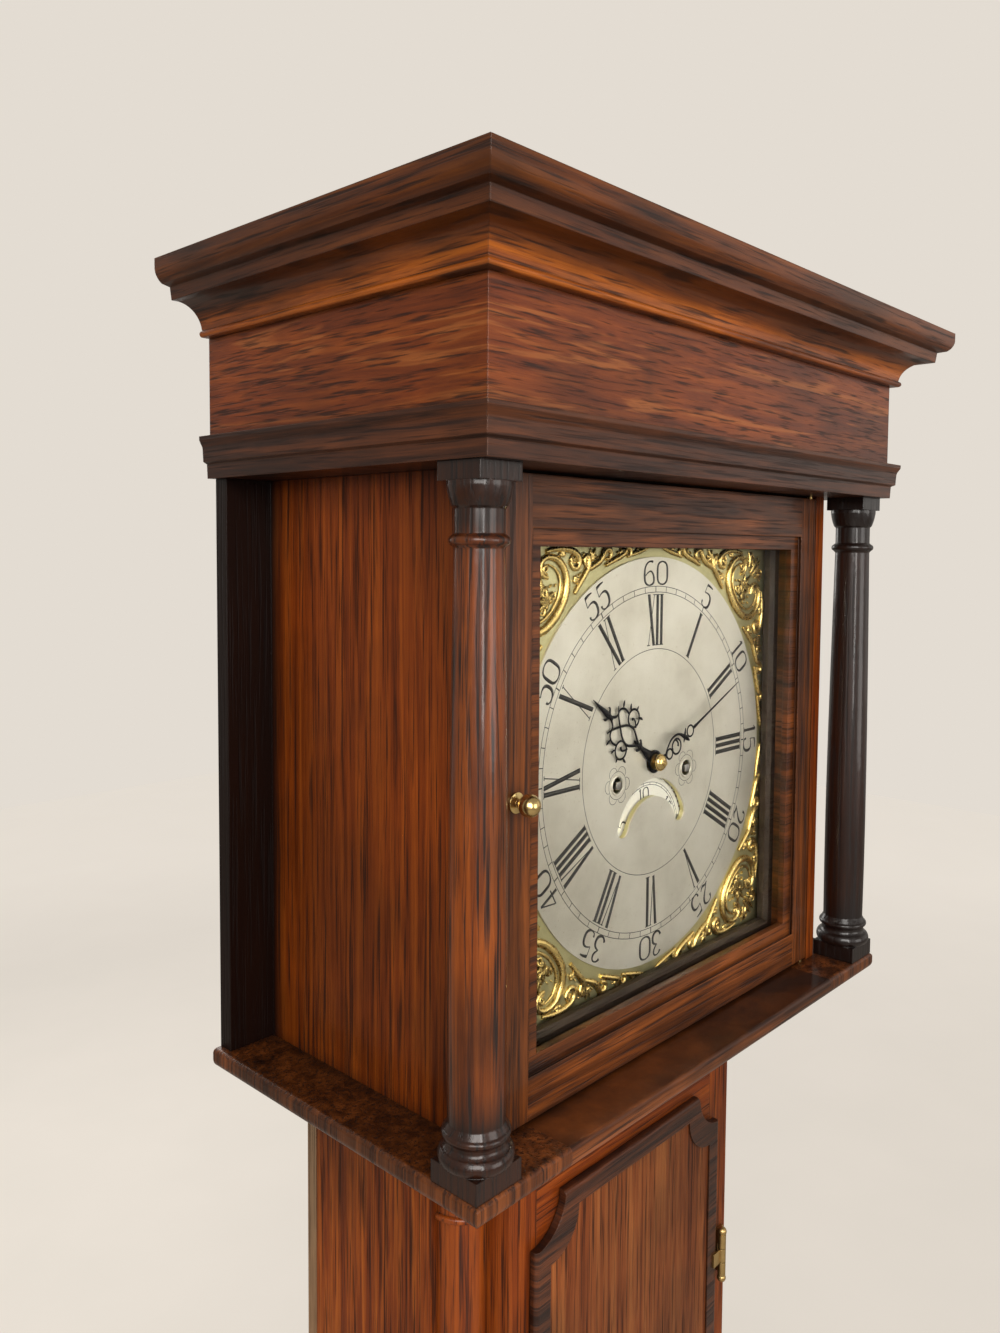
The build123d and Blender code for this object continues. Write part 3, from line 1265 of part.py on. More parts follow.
# Anchor above the escape wheel, on an arbor with the crutch that reaches the pendulum
nib_gap = 1.4
crutch_thick = 2.0
crutch_y = cock_y + 5.0
crutch_long = 52.0
fork_gap = rod_r + 0.6
with BuildPart() as anchor:
    with BuildSketch(gear_plane(0, crutch_y + crutch_thick, pallet_z)):
        Circle(arbor_r)
    extrude(amount=crutch_y + crutch_thick - plate_front - 0.4)
    with BuildSketch(gear_plane(0, escape_y + 1.0, pallet_z)):
        with BuildLine():
            span = (escape_r + nib_gap) / sqrt(2)
            drop = pallet_z - escape_z - span
            outer = ThreePointArc((-span - 1.6, -drop + 1.0), (0, 6.0), (span + 1.6, -drop + 1.0))
            tip_right = Line(outer @ 1, (span, -drop))
            inner = ThreePointArc(tip_right @ 1, (0, 0.2), (-span, -drop))
            Line(inner @ 1, outer @ 0)
        make_face()
        Circle(4.0)
    extrude(amount=3.4)
    with BuildSketch(gear_plane(0, crutch_y + crutch_thick, pallet_z)):
        Circle(4.0)
        with Locations((0, -crutch_long / 2)):
            Rectangle(3.0, crutch_long)
        with Locations((0, -crutch_long)):
            Rectangle(2 * (fork_gap + 3.0), 3.0)
    extrude(amount=crutch_thick)
    with BuildSketch(gear_plane(0, pendulum_y + 6.0, pallet_z - crutch_long)):
        with Locations((-fork_gap - 1.5, 0), (fork_gap + 1.5, 0)):
            Rectangle(3.0, 3.0)
    extrude(amount=pendulum_y + 6.0 - crutch_y - crutch_thick)
anchor.part.label = "anchor"
export_step(anchor.part, "parts/anchor.step")

# Bell above the plates on a standard that rises behind the back plate
bell_x = 24.0
bell_y = movement_mid - 3.0
bell_z = plate_low + plate_tall + 34.0
bell_r = 34.0
bell_tall = 30.0
bell_wall = 2.2
strap = 3.0
with BuildPart() as bell_cup:
    with BuildSketch(Plane(origin=(bell_x, bell_y, bell_z), x_dir=(1, 0, 0), z_dir=(0, -1, 0))):
        with BuildLine():
            wall = Polyline((0, bell_tall - bell_wall), (0, bell_tall + 5.0), (strap, bell_tall + 5.0),
                            (strap, bell_tall))
            over = Spline(wall @ 1, (bell_r * 0.72, bell_tall * 0.72), (bell_r * 0.9, bell_tall * 0.36),
                          (bell_r, 0), tangents=((1, 0), (0.2, -1)))
            mouth = Line(over @ 1, (bell_r - bell_wall, 0))
            Spline(mouth @ 1, (bell_r * 0.9 - bell_wall, bell_tall * 0.34),
                   (bell_r * 0.72 - bell_wall / 2, bell_tall * 0.72 - bell_wall), wall @ 0,
                   tangents=((-0.2, 1), (-1, 0)))
        make_face()
    revolve(axis=Axis((bell_x, bell_y, bell_z), (0, 0, 1)))
with BuildPart() as bell_stand:
    with BuildSketch(Plane.YZ.offset(bell_x - 5.0)):
        with BuildLine():
            arm_low = bell_z + bell_tall + 5.0
            Polyline((cock_y, plate_low + plate_tall - 18.0), (cock_y + strap, plate_low + plate_tall - 18.0),
                     (cock_y + strap, arm_low + strap), (bell_y - 5.0, arm_low + strap),
                     (bell_y - 5.0, arm_low), (cock_y, arm_low), close=True)
        make_face()
    extrude(amount=10.0)
group("bell", [bell_cup.part, bell_stand.part])
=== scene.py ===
import math
import bpy
from mathutils import Matrix, Vector


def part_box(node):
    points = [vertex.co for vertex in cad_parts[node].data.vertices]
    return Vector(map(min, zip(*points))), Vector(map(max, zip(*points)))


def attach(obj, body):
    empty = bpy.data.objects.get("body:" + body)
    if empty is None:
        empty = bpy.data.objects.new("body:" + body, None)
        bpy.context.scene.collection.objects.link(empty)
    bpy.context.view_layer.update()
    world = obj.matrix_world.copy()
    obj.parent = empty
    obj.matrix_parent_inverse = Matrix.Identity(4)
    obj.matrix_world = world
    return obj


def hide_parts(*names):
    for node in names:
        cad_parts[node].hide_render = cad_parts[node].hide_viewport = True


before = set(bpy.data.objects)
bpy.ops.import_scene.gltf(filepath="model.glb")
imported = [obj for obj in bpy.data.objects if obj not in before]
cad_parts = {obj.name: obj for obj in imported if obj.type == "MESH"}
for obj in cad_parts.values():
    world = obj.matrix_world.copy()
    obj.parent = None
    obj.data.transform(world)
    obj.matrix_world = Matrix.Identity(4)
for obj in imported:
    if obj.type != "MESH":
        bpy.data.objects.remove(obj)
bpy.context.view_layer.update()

# Places shared by several pieces, in metres, read from the frame where a node holds them
discLow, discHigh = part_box("chapter_disc")
dialCentre = Vector(((discLow[0] + discHigh[0]) / 2, discLow[1], (discLow[2] + discHigh[2]) / 2))
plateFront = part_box("dial_plate")[0][1]
hair = 0.00012  # how far an engraved line stands off its face
smoothAngle = math.radians(35)  # sharper corners than this stay sharp


def clearSelection():
    bpy.ops.object.select_all(action="DESELECT")


# Materials
def newGroup(name, inputs, outputs):
    group = bpy.data.node_groups.new(name, "ShaderNodeTree")
    for label, kind, value in inputs:
        socket = group.interface.new_socket(name=label, in_out="INPUT", socket_type=kind)
        if value is not None:
            socket.default_value = value
    for label, kind in outputs:
        group.interface.new_socket(name=label, in_out="OUTPUT", socket_type=kind)
    start = group.nodes.new("NodeGroupInput")
    end = group.nodes.new("NodeGroupOutput")
    return group, start, end


def addNode(tree, kind, settings=None, **values):
    node = tree.nodes.new(kind)
    for key, value in (settings or {}).items():
        setattr(node, key, value)
    for key, value in values.items():
        node.inputs[key].default_value = value
    return node


def join(tree, fromSocket, toSocket):
    tree.links.new(fromSocket, toSocket)


def mathNode(tree, operation, a, b=None):
    node = tree.nodes.new("ShaderNodeMath")
    node.operation = operation
    for index, value in enumerate((a, b)):
        if value is None:
            continue
        if isinstance(value, (int, float)):
            node.inputs[index].default_value = value
        else:
            tree.links.new(value, node.inputs[index])
    return node.outputs[0]


def rampNode(tree, factor, stops):
    node = tree.nodes.new("ShaderNodeValToRGB")
    ramp = node.color_ramp
    while len(ramp.elements) < len(stops):
        ramp.elements.new(0.5)
    for element, (place, colour) in zip(ramp.elements, stops):
        element.position = place
        element.color = (*colour, 1) if len(colour) == 3 else colour
    tree.links.new(factor, node.inputs[0])
    return node.outputs[0]


def mixColour(tree, factor, a, b, blend="MIX"):
    node = tree.nodes.new("ShaderNodeMix")
    node.data_type = "RGBA"
    node.blend_type = blend
    for socket, value in ((node.inputs[0], factor), (node.inputs[6], a), (node.inputs[7], b)):
        if isinstance(value, (int, float)):
            socket.default_value = value
        elif isinstance(value, tuple):
            socket.default_value = (*value, 1)
        else:
            tree.links.new(value, socket)
    return node.outputs[2]


def objectPlace(tree):
    return addNode(tree, "ShaderNodeTexCoord").outputs["Object"]


def noiseAt(tree, place, **values):
    noise = addNode(tree, "ShaderNodeTexNoise", **values)
    join(tree, place, noise.inputs["Vector"])
    return noise.outputs[0]


def mapPlace(tree, place, **values):
    mapping = addNode(tree, "ShaderNodeMapping", **values)
    join(tree, place, mapping.inputs["Vector"])
    return mapping


def splitPlace(tree):
    parts = addNode(tree, "ShaderNodeSeparateXYZ")
    join(tree, objectPlace(tree), parts.inputs[0])
    return parts.outputs


def linear(tree, value, factor, base):
    return mathNode(tree, "ADD", mathNode(tree, "MULTIPLY", value, factor), base)


def addBump(tree, shader, height, strength, distance, normal=None):
    bump = addNode(tree, "ShaderNodeBump", Strength=strength, Distance=distance)
    join(tree, height, bump.inputs["Height"])
    if normal is not None:
        join(tree, normal, bump.inputs["Normal"])
    join(tree, bump.outputs[0], shader.inputs["Normal"])


def buildOakGroup():
    # pores, growth rings and pale ray flecks of quarter-cut oak; grain runs where Stretch is small
    group, start, end = newGroup("oakGrain", [("Stretch", "NodeSocketVector", (1, 1, 0.05)),
                                              ("Ring scale", "NodeSocketFloat", 34.0),
                                              ("Seed", "NodeSocketFloat", 0.0)],
                                 [("Ring", "NodeSocketFloat"), ("Pore", "NodeSocketFloat"),
                                  ("Fleck", "NodeSocketFloat"), ("Cloud", "NodeSocketFloat")])
    place = objectPlace(group)
    mapping = mapPlace(group, place)
    join(group, start.outputs["Stretch"], mapping.inputs["Scale"])
    shift = addNode(group, "ShaderNodeCombineXYZ")
    for axis in ("X", "Y", "Z"):
        join(group, start.outputs["Seed"], shift.inputs[axis])
    join(group, shift.outputs[0], mapping.inputs["Location"])
    stretched = mapping.outputs[0]
    ring = noiseAt(group, stretched, Detail=8.0, Roughness=0.72, Distortion=0.5)
    join(group, start.outputs["Ring scale"], ring.node.inputs["Scale"])
    join(group, ring, end.inputs["Ring"])
    fine = noiseAt(group, stretched, Scale=460.0, Detail=2.0, Roughness=0.6)
    join(group, rampNode(group, fine, [(0.52, (0, 0, 0)), (0.66, (1, 1, 1))]), end.inputs["Pore"])
    # ray flecks: short tilted streaks lying across the rings
    tilted = mapPlace(group, stretched, Rotation=(0.06, 0.10, 0.05)).outputs[0]
    streak = noiseAt(group, tilted, Scale=95.0, Detail=3.0, Roughness=0.5, Distortion=1.4)
    join(group, rampNode(group, streak, [(0.56, (0, 0, 0)), (0.64, (1, 1, 1))]), end.inputs["Fleck"])
    cloud = noiseAt(group, place, Scale=5.5, Detail=4.0, Roughness=0.6)
    join(group, cloud, end.inputs["Cloud"])
    return group


def buildEdgeGroup():
    # how exposed a place is: rubbed on edges, dirt and painted shade in corners and hollows, and the
    # softened normal of a worn arris
    group, start, end = newGroup("edgeWearDirtAndShade", [("Width", "NodeSocketFloat", 0.004),
                                              ("Radius", "NodeSocketFloat", 0.001)],
                                 [("Worn", "NodeSocketFloat"), ("Dirt and shade", "NodeSocketFloat"),
                                  ("Normal", "NodeSocketVector")])
    geometry = addNode(group, "ShaderNodeNewGeometry")
    soft = addNode(group, "ShaderNodeBevel", {"samples": 4})
    join(group, start.outputs["Radius"], soft.inputs["Radius"])
    align = addNode(group, "ShaderNodeVectorMath", {"operation": "DOT_PRODUCT"})
    join(group, soft.outputs[0], align.inputs[0])
    join(group, geometry.outputs["Normal"], align.inputs[1])
    bent = mathNode(group, "SUBTRACT", 1.0, align.outputs["Value"])
    worn = rampNode(group, bent, [(0.02, (0, 0, 0)), (0.16, (1, 1, 1))])
    # ambient occlusion gives the hollows their dirt and painted shade
    hollow = addNode(group, "ShaderNodeAmbientOcclusion", {"samples": 6})
    join(group, start.outputs["Width"], hollow.inputs["Distance"])
    dirtAndShade = mathNode(group, "SUBTRACT", 1.0, hollow.outputs["AO"])
    join(group, worn, end.inputs["Worn"])
    join(group, dirtAndShade, end.inputs["Dirt and shade"])
    join(group, soft.outputs[0], end.inputs["Normal"])
    return group


oakGroup = buildOakGroup()
edgeGroup = buildEdgeGroup()


def startMaterial(name):
    material = bpy.data.materials.new(name)
    material.use_nodes = True
    tree = material.node_tree
    return material, tree, tree.nodes["Principled BSDF"]


def shadeAlong(tree, colour, axis, start, end, depth):
    # darkens the colour towards near-black from start to end along one axis of the object: painted shade on
    # the back of the hood sides and on the right column, elsewhere darker towards the top of the cornice
    # and the ends of the columns
    reach = addNode(tree, "ShaderNodeMapRange", **{"From Min": start, "From Max": end, "To Max": depth})
    join(tree, splitPlace(tree)[axis], reach.inputs["Value"])
    return mixColour(tree, reach.outputs[0], colour, (0.006, 0.0025, 0.0018))


def turnGrain(tree, grain, railStretch, stileEdge):
    # one frame, two grains: along the rails in the middle, upright on the stiles beyond stileEdge
    reach = mathNode(tree, "ABSOLUTE", splitPlace(tree)["X"])
    onStile = mathNode(tree, "GREATER_THAN", reach, stileEdge)
    join(tree, mixColour(tree, onStile, railStretch, upright), grain.inputs["Stretch"])


def wearGroup(tree, dirtAndShadeReach, arris):
    edge = tree.nodes.new("ShaderNodeGroup")
    edge.node_tree = edgeGroup
    edge.inputs["Width"].default_value = dirtAndShadeReach
    edge.inputs["Radius"].default_value = arris
    return edge.outputs


def oakMaterial(name, style):
    # varnished oak: a red-brown ground, near-black pores and lighter flecks under a thin polish
    material, tree, shader = startMaterial(name)
    grain = tree.nodes.new("ShaderNodeGroup")
    grain.node_tree = oakGroup
    grain.inputs["Stretch"].default_value = style["stretch"]
    if style["stileEdge"]:
        turnGrain(tree, grain, style["stretch"], style["stileEdge"])
    grain.inputs["Ring scale"].default_value = style["rings"]
    grain.inputs["Seed"].default_value = style["seed"]
    edge = wearGroup(tree, style["dirtAndShadeReach"], style["arris"])
    colour = rampNode(tree, grain.outputs["Ring"],
                      [(0.32, style["dark"]), (0.47, style["middle"]), (0.64, style["light"])])
    cloudy = rampNode(tree, grain.outputs["Cloud"],
                      [(0.36, (style["cloudLow"],) * 3), (0.60, (1.2, 1.12, 1.05))])
    colour = mixColour(tree, 1.0, colour, cloudy, "MULTIPLY")
    # flecks, pores and worn edges are the wood's own; the last mix darkens hollows with dirt and painted
    # shade
    for mask, amount, tone in ((grain.outputs["Fleck"], style["fleck"], style["fleckColour"]),
                               (grain.outputs["Pore"], style["pore"], style["poreColour"]),
                               (edge["Worn"], style["worn"], style["wornColour"]),
                               (edge["Dirt and shade"], style["dirtAndShade"], style["dirtAndShadeColour"])):
        colour = mixColour(tree, mathNode(tree, "MULTIPLY", mask, amount), colour, tone)
    for axis, start, end, depth in style["shades"]:
        colour = shadeAlong(tree, colour, axis, start, end, depth)
    join(tree, colour, shader.inputs["Base Color"])
    join(tree, linear(tree, grain.outputs["Pore"], 0.22, style["rough"]), shader.inputs["Roughness"])
    height = mathNode(tree, "SUBTRACT", grain.outputs["Ring"], grain.outputs["Pore"])
    addBump(tree, shader, height, style["relief"], 0.0006, edge["Normal"])
    join(tree, edge["Normal"], shader.inputs["Coat Normal"])
    shader.inputs["Coat Weight"].default_value = style["coat"]
    shader.inputs["Coat Roughness"].default_value = style["coatRough"]
    shader.inputs["Specular IOR Level"].default_value = style["shine"]
    return material


# Woods: the usual oak, then what each board, turning or moulding changes in it
upright = (1.0, 1.0, 0.028)
level = (0.035, 0.035, 1.0)
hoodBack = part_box("hood_sides")[1][1]
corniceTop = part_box("cornice")[1][2]
columnLow, columnHigh = (corner[2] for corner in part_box("column_left"))
oakBase = {
    "stretch": upright, "rings": 150.0, "seed": 0.0, "stileEdge": 0, "shades": [], "cloudLow": 0.66,
    "dark": (0.080, 0.014, 0.0018), "middle": (0.175, 0.033, 0.0030), "light": (0.290, 0.066, 0.0060),
    "fleck": 0.0, "fleckColour": (0.42, 0.135, 0.03), "pore": 0.8, "poreColour": (0.014, 0.004, 0.002),
    "worn": 0.35, "wornColour": (0.22, 0.075, 0.022), "arris": 0.001,
    # dirt and painted shade darken the hollows
    "dirtAndShade": 0.8, "dirtAndShadeColour": (0.006, 0.003, 0.002), "dirtAndShadeReach": 0.010,
    "rough": 0.36, "relief": 0.35, "shine": 0.17, "coat": 0.07, "coatRough": 0.12,
}
polished = {"coat": 0.24, "coatRough": 0.1, "shine": 0.28}
woodStyles = {
    # painted shade: the hood sides darken to near-black towards their back edge
    "oak hood sides": {"shades": [("Y", hoodBack - 0.030, hoodBack - 0.012, 0.985)]},
    "oak trunk sides": {"seed": 11.3, "light": (0.34, 0.088, 0.010)},
    "oak trunk door": {"seed": 3.1, "rings": 120.0, "middle": (0.20, 0.052, 0.012),
                       "light": (0.31, 0.105, 0.028)},
    "oak stiles": {"seed": 5.7, "rings": 130.0},
    "oak frieze": {"stretch": (0.06, 0.06, 1.0), "seed": 1.3, "rings": 110.0, "cloudLow": 0.55,
                   "fleck": 0.42, "worn": 0.08, **polished},
    "oak rails": {"stretch": level, "seed": 8.2, "rings": 120.0},
    "oak mouldings": {"stretch": level, "seed": 2.4, "rings": 120.0, "cloudLow": 0.55,
                      "dark": (0.060, 0.014, 0.003), "middle": (0.30, 0.072, 0.008),
                      # darker fillets and hollows: dirt and painted shade reach further here
                      "light": (0.54, 0.150, 0.016), "worn": 0.5, "dirtAndShade": 1.0, "dirtAndShadeReach": 0.016,
                      "shades": [("Z", corniceTop - 0.034, corniceTop - 0.024, 0.72)], **polished},
    "oak columns": {"seed": 6.1, "rings": 120.0, "cloudLow": 0.4, "dark": (0.030, 0.008, 0.002),
                    "middle": (0.17, 0.036, 0.004), "light": (0.34, 0.084, 0.009), "pore": 1.0,
                    "coat": 0.5, "coatRough": 0.1, "shine": 0.3,
                    "shades": [("Z", columnHigh - 0.050, columnHigh - 0.030, 0.88),
                               ("Z", columnLow + 0.055, columnLow + 0.035, 0.88),
                               # painted shade: the right column, beyond x = 0.1, darkens towards near-black
                               ("X", 0.0, 0.1, 0.90)]},
    "oak quarter columns": {"seed": 4.4, "rings": 120.0, "cloudLow": 0.4, **polished},
    "oak dark edges": {"stretch": level, "seed": 4.9, "rings": 110.0, "dark": (0.010, 0.0035, 0.002),
                       "middle": (0.045, 0.014, 0.006), "light": (0.13, 0.038, 0.012), "worn": 0.25,
                       **polished},
    "oak door frame": {"stretch": level, "stileEdge": 0.1585, "seed": 12.8, "rings": 110.0,
                       "cloudLow": 0.4, "dark": (0.016, 0.005, 0.0025),
                       "middle": (0.10, 0.028, 0.006), "light": (0.24, 0.070, 0.015), **polished},
    "oak unvarnished inside": {"seed": 7.7, "rings": 50.0, "dark": (0.14, 0.08, 0.045),
                               "middle": (0.26, 0.165, 0.095), "light": (0.36, 0.24, 0.145),
                               "pore": 0.5, "worn": 0.1, "rough": 0.62, "coat": 0.0},
    "mask board": {"stretch": (0.06, 1.0, 1.0), "seed": 9.4, "rings": 50.0,
                   "dark": (0.020, 0.014, 0.010), "middle": (0.040, 0.028, 0.020),
                   "light": (0.065, 0.048, 0.034), "pore": 0.35, "rough": 0.5, "coat": 0.05},
}
wood = {name: oakMaterial(name, {**oakBase, **changes}) for name, changes in woodStyles.items()}


# Metals, glass, wax and gut
def metalMaterial(name, colour, dark, rough, tarnish, relief):
    # polished metal with a patchy tarnish in its hollows and faint rubbing marks
    material, tree, shader = startMaterial(name)
    place = objectPlace(tree)
    patches = noiseAt(tree, place, Scale=38.0, Detail=6.0, Roughness=0.65)
    marks = noiseAt(tree, place, Scale=420.0, Detail=3.0, Roughness=0.7)
    edge = wearGroup(tree, 0.004, 0.0004)
    patch = rampNode(tree, patches, [(0.42, (0, 0, 0)), (0.68, (1, 1, 1))])
    amount = mathNode(tree, "MULTIPLY", patch, tarnish)
    amount = mathNode(tree, "MAXIMUM", amount, mathNode(tree, "MULTIPLY", edge["Dirt and shade"], 0.9))
    join(tree, mixColour(tree, amount, colour, dark), shader.inputs["Base Color"])
    join(tree, linear(tree, marks, 0.16, rough), shader.inputs["Roughness"])
    shader.inputs["Metallic"].default_value = 1.0
    addBump(tree, shader, marks, relief, 0.0003, edge["Normal"])
    return material


castBrass = metalMaterial("lacquered cast brass", (0.92, 0.66, 0.24), (0.20, 0.11, 0.025), 0.20, 0.3, 0.5)
dialBrass = metalMaterial("dial plate brass", (0.66, 0.60, 0.33), (0.34, 0.29, 0.14), 0.34, 0.5, 0.5)
oldBrass = metalMaterial("movement brass", (0.66, 0.46, 0.19), (0.22, 0.13, 0.05), 0.28, 0.55, 0.2)
bobBrass = metalMaterial("bob brass", (0.80, 0.58, 0.25), (0.35, 0.22, 0.08), 0.16, 0.4, 0.1)
blueSteel = metalMaterial("blackened steel", (0.030, 0.028, 0.032), (0.010, 0.009, 0.010), 0.28, 0.5, 0.2)
plainSteel = metalMaterial("bright steel", (0.42, 0.40, 0.38), (0.14, 0.11, 0.09), 0.30, 0.5, 0.2)
castIron = metalMaterial("cast iron weight", (0.11, 0.10, 0.095), (0.06, 0.035, 0.02), 0.48, 0.8, 0.9)
bellMetal = metalMaterial("bell metal", (0.66, 0.52, 0.30), (0.25, 0.18, 0.09), 0.24, 0.5, 0.2)


def silverMaterial(name, low, middle, high, metal):
    # silvered brass: warm pale grey with soft clouding and fine specks
    material, tree, shader = startMaterial(name)
    place = objectPlace(tree)
    cloud = noiseAt(tree, place, Scale=14.0, Detail=6.0, Roughness=0.62)
    speck = noiseAt(tree, place, Scale=700.0, Detail=2.0, Roughness=0.6)
    tone = rampNode(tree, cloud, [(0.34, low), (0.5, middle), (0.66, high)])
    spots = rampNode(tree, speck, [(0.66, (1, 1, 1)), (0.76, (0.72, 0.66, 0.56))])
    join(tree, mixColour(tree, 1.0, tone, spots, "MULTIPLY"), shader.inputs["Base Color"])
    shader.inputs["Metallic"].default_value = metal
    join(tree, linear(tree, cloud, 0.22, 0.28), shader.inputs["Roughness"])
    addBump(tree, shader, speck, 0.12, 0.0002)
    return material


def waxMaterial():
    # black wax in the engraving, a little uneven
    material, tree, shader = startMaterial("engraver's wax")
    noise = noiseAt(tree, objectPlace(tree), Scale=300.0, Detail=3.0)
    tone = rampNode(tree, noise, [(0.35, (0.014, 0.012, 0.011)), (0.7, (0.05, 0.043, 0.036))])
    join(tree, tone, shader.inputs["Base Color"])
    join(tree, linear(tree, noise, 0.3, 0.35), shader.inputs["Roughness"])
    return material


def glassMaterial():
    # old hand-made pane: faint waves and specks of dust
    material, tree, shader = startMaterial("door glass")
    place = objectPlace(tree)
    wave = noiseAt(tree, place, Scale=9.0, Detail=2.0)
    dust = noiseAt(tree, place, Scale=240.0, Detail=4.0)
    shader.inputs["Base Color"].default_value = (0.97, 0.99, 0.98, 1)
    shader.inputs["Transmission Weight"].default_value = 1.0
    shader.inputs["IOR"].default_value = 1.05
    shader.inputs["Specular IOR Level"].default_value = 0.5
    rough = rampNode(tree, dust, [(0.55, (0.0, 0.0, 0.0)), (0.8, (0.05, 0.05, 0.05))])
    join(tree, rough, shader.inputs["Roughness"])
    addBump(tree, shader, wave, 0.08, 0.001)
    return material


def gutMaterial():
    # twisted gut line, amber and slightly greasy
    material, tree, shader = startMaterial("gut line")
    wave = addNode(tree, "ShaderNodeTexWave", {"bands_direction": "DIAGONAL"}, Scale=420.0, Distortion=1.0)
    join(tree, objectPlace(tree), wave.inputs["Vector"])
    twist = wave.outputs[0]
    tone = rampNode(tree, twist, [(0.2, (0.20, 0.11, 0.045)), (0.8, (0.52, 0.34, 0.16))])
    join(tree, tone, shader.inputs["Base Color"])
    join(tree, linear(tree, twist, 0.2, 0.35), shader.inputs["Roughness"])
    addBump(tree, shader, twist, 0.6, 0.0004)
    return material


silver = silverMaterial("silvered brass", (0.60, 0.55, 0.455), (0.70, 0.65, 0.55),
                        (0.77, 0.72, 0.625), 0.72)
dateSilver = silverMaterial("fresh silvering", (0.80, 0.76, 0.67), (0.87, 0.83, 0.74),
                            (0.91, 0.88, 0.80), 0.3)
wax = waxMaterial()
paneGlass = glassMaterial()
gut = gutMaterial()
print("materials made")

finishes = {
    wood["oak hood sides"]: ["hood_sides"],
    wood["oak trunk sides"]: ["trunk_sides", "base_panels"],
    wood["oak stiles"]: ["trunk_stiles"],
    wood["oak trunk door"]: ["trunk_door"],
    wood["oak frieze"]: ["frieze"],
    wood["oak rails"]: ["trunk_rails", "skirting"],
    wood["oak mouldings"]: ["cornice", "throat_moulding", "waist_moulding"],
    wood["oak door frame"]: ["hood_door_frame", "hood_base"],
    wood["oak dark edges"]: ["architrave", "trunk_door_lip"],
    wood["oak columns"]: ["column_left", "column_right"],
    wood["oak quarter columns"]: ["quarter_columns"],
    wood["oak unvarnished inside"]: ["back_board", "base_floor", "seat_board", "hood_top"],
    wood["mask board"]: ["dial_mask"],
    paneGlass: ["hood_door_glass"],
    dialBrass: ["dial_plate"],
    silver: ["chapter_disc"],
    dateSilver: ["date_disc"],
    oldBrass: ["movement_plates", "pillars", "dial_posts", "great_wheel", "strike_wheel", "third_arbor",
               "escape_arbor", "centre_arbor", "cannon_wheel", "hour_wheel", "minute_wheel", "going_barrel",
               "strike_barrel", "going_pulley", "strike_pulley", "pendulum_cock", "trunk_hinge_case",
               "trunk_hinge_door", "hood_door_pivots"],
    bobBrass: ["pendulum_bob", "hood_door_knob", "trunk_escutcheon"],
    castBrass: ["spandrels"],
    blueSteel: ["hour_hand", "minute_hand"],
    plainSteel: ["anchor", "pendulum_rod"],
    castIron: ["going_weight", "strike_weight"],
    bellMetal: ["bell"],
    gut: ["going_line", "strike_line", "line_tops"],
}
for material, names in finishes.items():
    for name in names:
        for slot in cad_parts[name].material_slots:
            slot.material = material
print("finishes on the case and movement")


# Dial engraving and castings are drawn in the plane of the dial: x to the right, z up, from its centre
def polar(radius, clockAngle):
    # clockAngle in degrees, clockwise from twelve
    angle = math.radians(clockAngle)
    return radius * math.sin(angle), radius * math.cos(angle)


def makeMesh(piece, name, material):
    clearSelection()
    piece.select_set(True)
    bpy.context.view_layer.objects.active = piece
    bpy.ops.object.convert(target="MESH")
    piece.name = name
    piece.data.materials.clear()
    piece.data.materials.append(material)
    return piece


class Drawing:
    # strokes of changing width along curves, made one relief that is as high as it is asked to be
    def __init__(self, name, resolution=2, sections=2):
        self.curve = bpy.data.curves.new(name, "CURVE")
        self.curve.dimensions = "3D"
        self.curve.bevel_depth = 1.0
        self.curve.bevel_resolution = resolution
        self.curve.resolution_u = sections
        self.curve.use_fill_caps = True
        self.name = name

    def stroke(self, points, widths, closed=False, smooth=False):
        spline = self.curve.splines.new("NURBS" if smooth else "POLY")
        spline.points.add(len(points) - 1)
        if not isinstance(widths, (tuple, list)):
            widths = [widths] * len(points)
        for point, (x, z), width in zip(spline.points, points, widths):
            point.co = (x, 0, z, 1)
            point.radius = width / 2
        if smooth:
            spline.order_u = 3
            spline.use_endpoint_u = not closed
        spline.use_cyclic_u = closed

    def ring(self, radius, width, centre=(0, 0), steps=240):
        points = [polar(radius, 360 * step / steps) for step in range(steps)]
        self.stroke([(x + centre[0], z + centre[1]) for x, z in points], width, closed=True)

    def make(self, material, body, slotName, front, height, place=dialCentre, flatten=None):
        # squeezed in depth so that the widest stroke stands height proud of front
        piece = bpy.data.objects.new(self.name, self.curve)
        bpy.context.collection.objects.link(piece)
        makeMesh(piece, self.name, material)
        tallest = max(vertex.co.y for vertex in piece.data.vertices)
        squeeze = height / tallest if flatten is None else flatten
        for vertex in piece.data.vertices:
            vertex.co = (place.x + vertex.co.x, front + vertex.co.y * squeeze, place.z + vertex.co.z)
        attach(piece, body)
        return piece


chapter = {"minuteOuter": 0.1218, "minuteInner": 0.1178, "hourOuter": 0.1166, "hourInner": 0.0806,
           "centreRing": 0.0785, "line": 0.00046, "thick": 0.0031, "thin": 0.0007, "serif": 0.0007,
           "minuteFigure": 0.1309, "figureTall": 0.0168, "figureThick": 0.0023, "figureThin": 0.00075,
           "tick": 0.0006, "fifthTick": 0.0009, "gap": 0.0006}


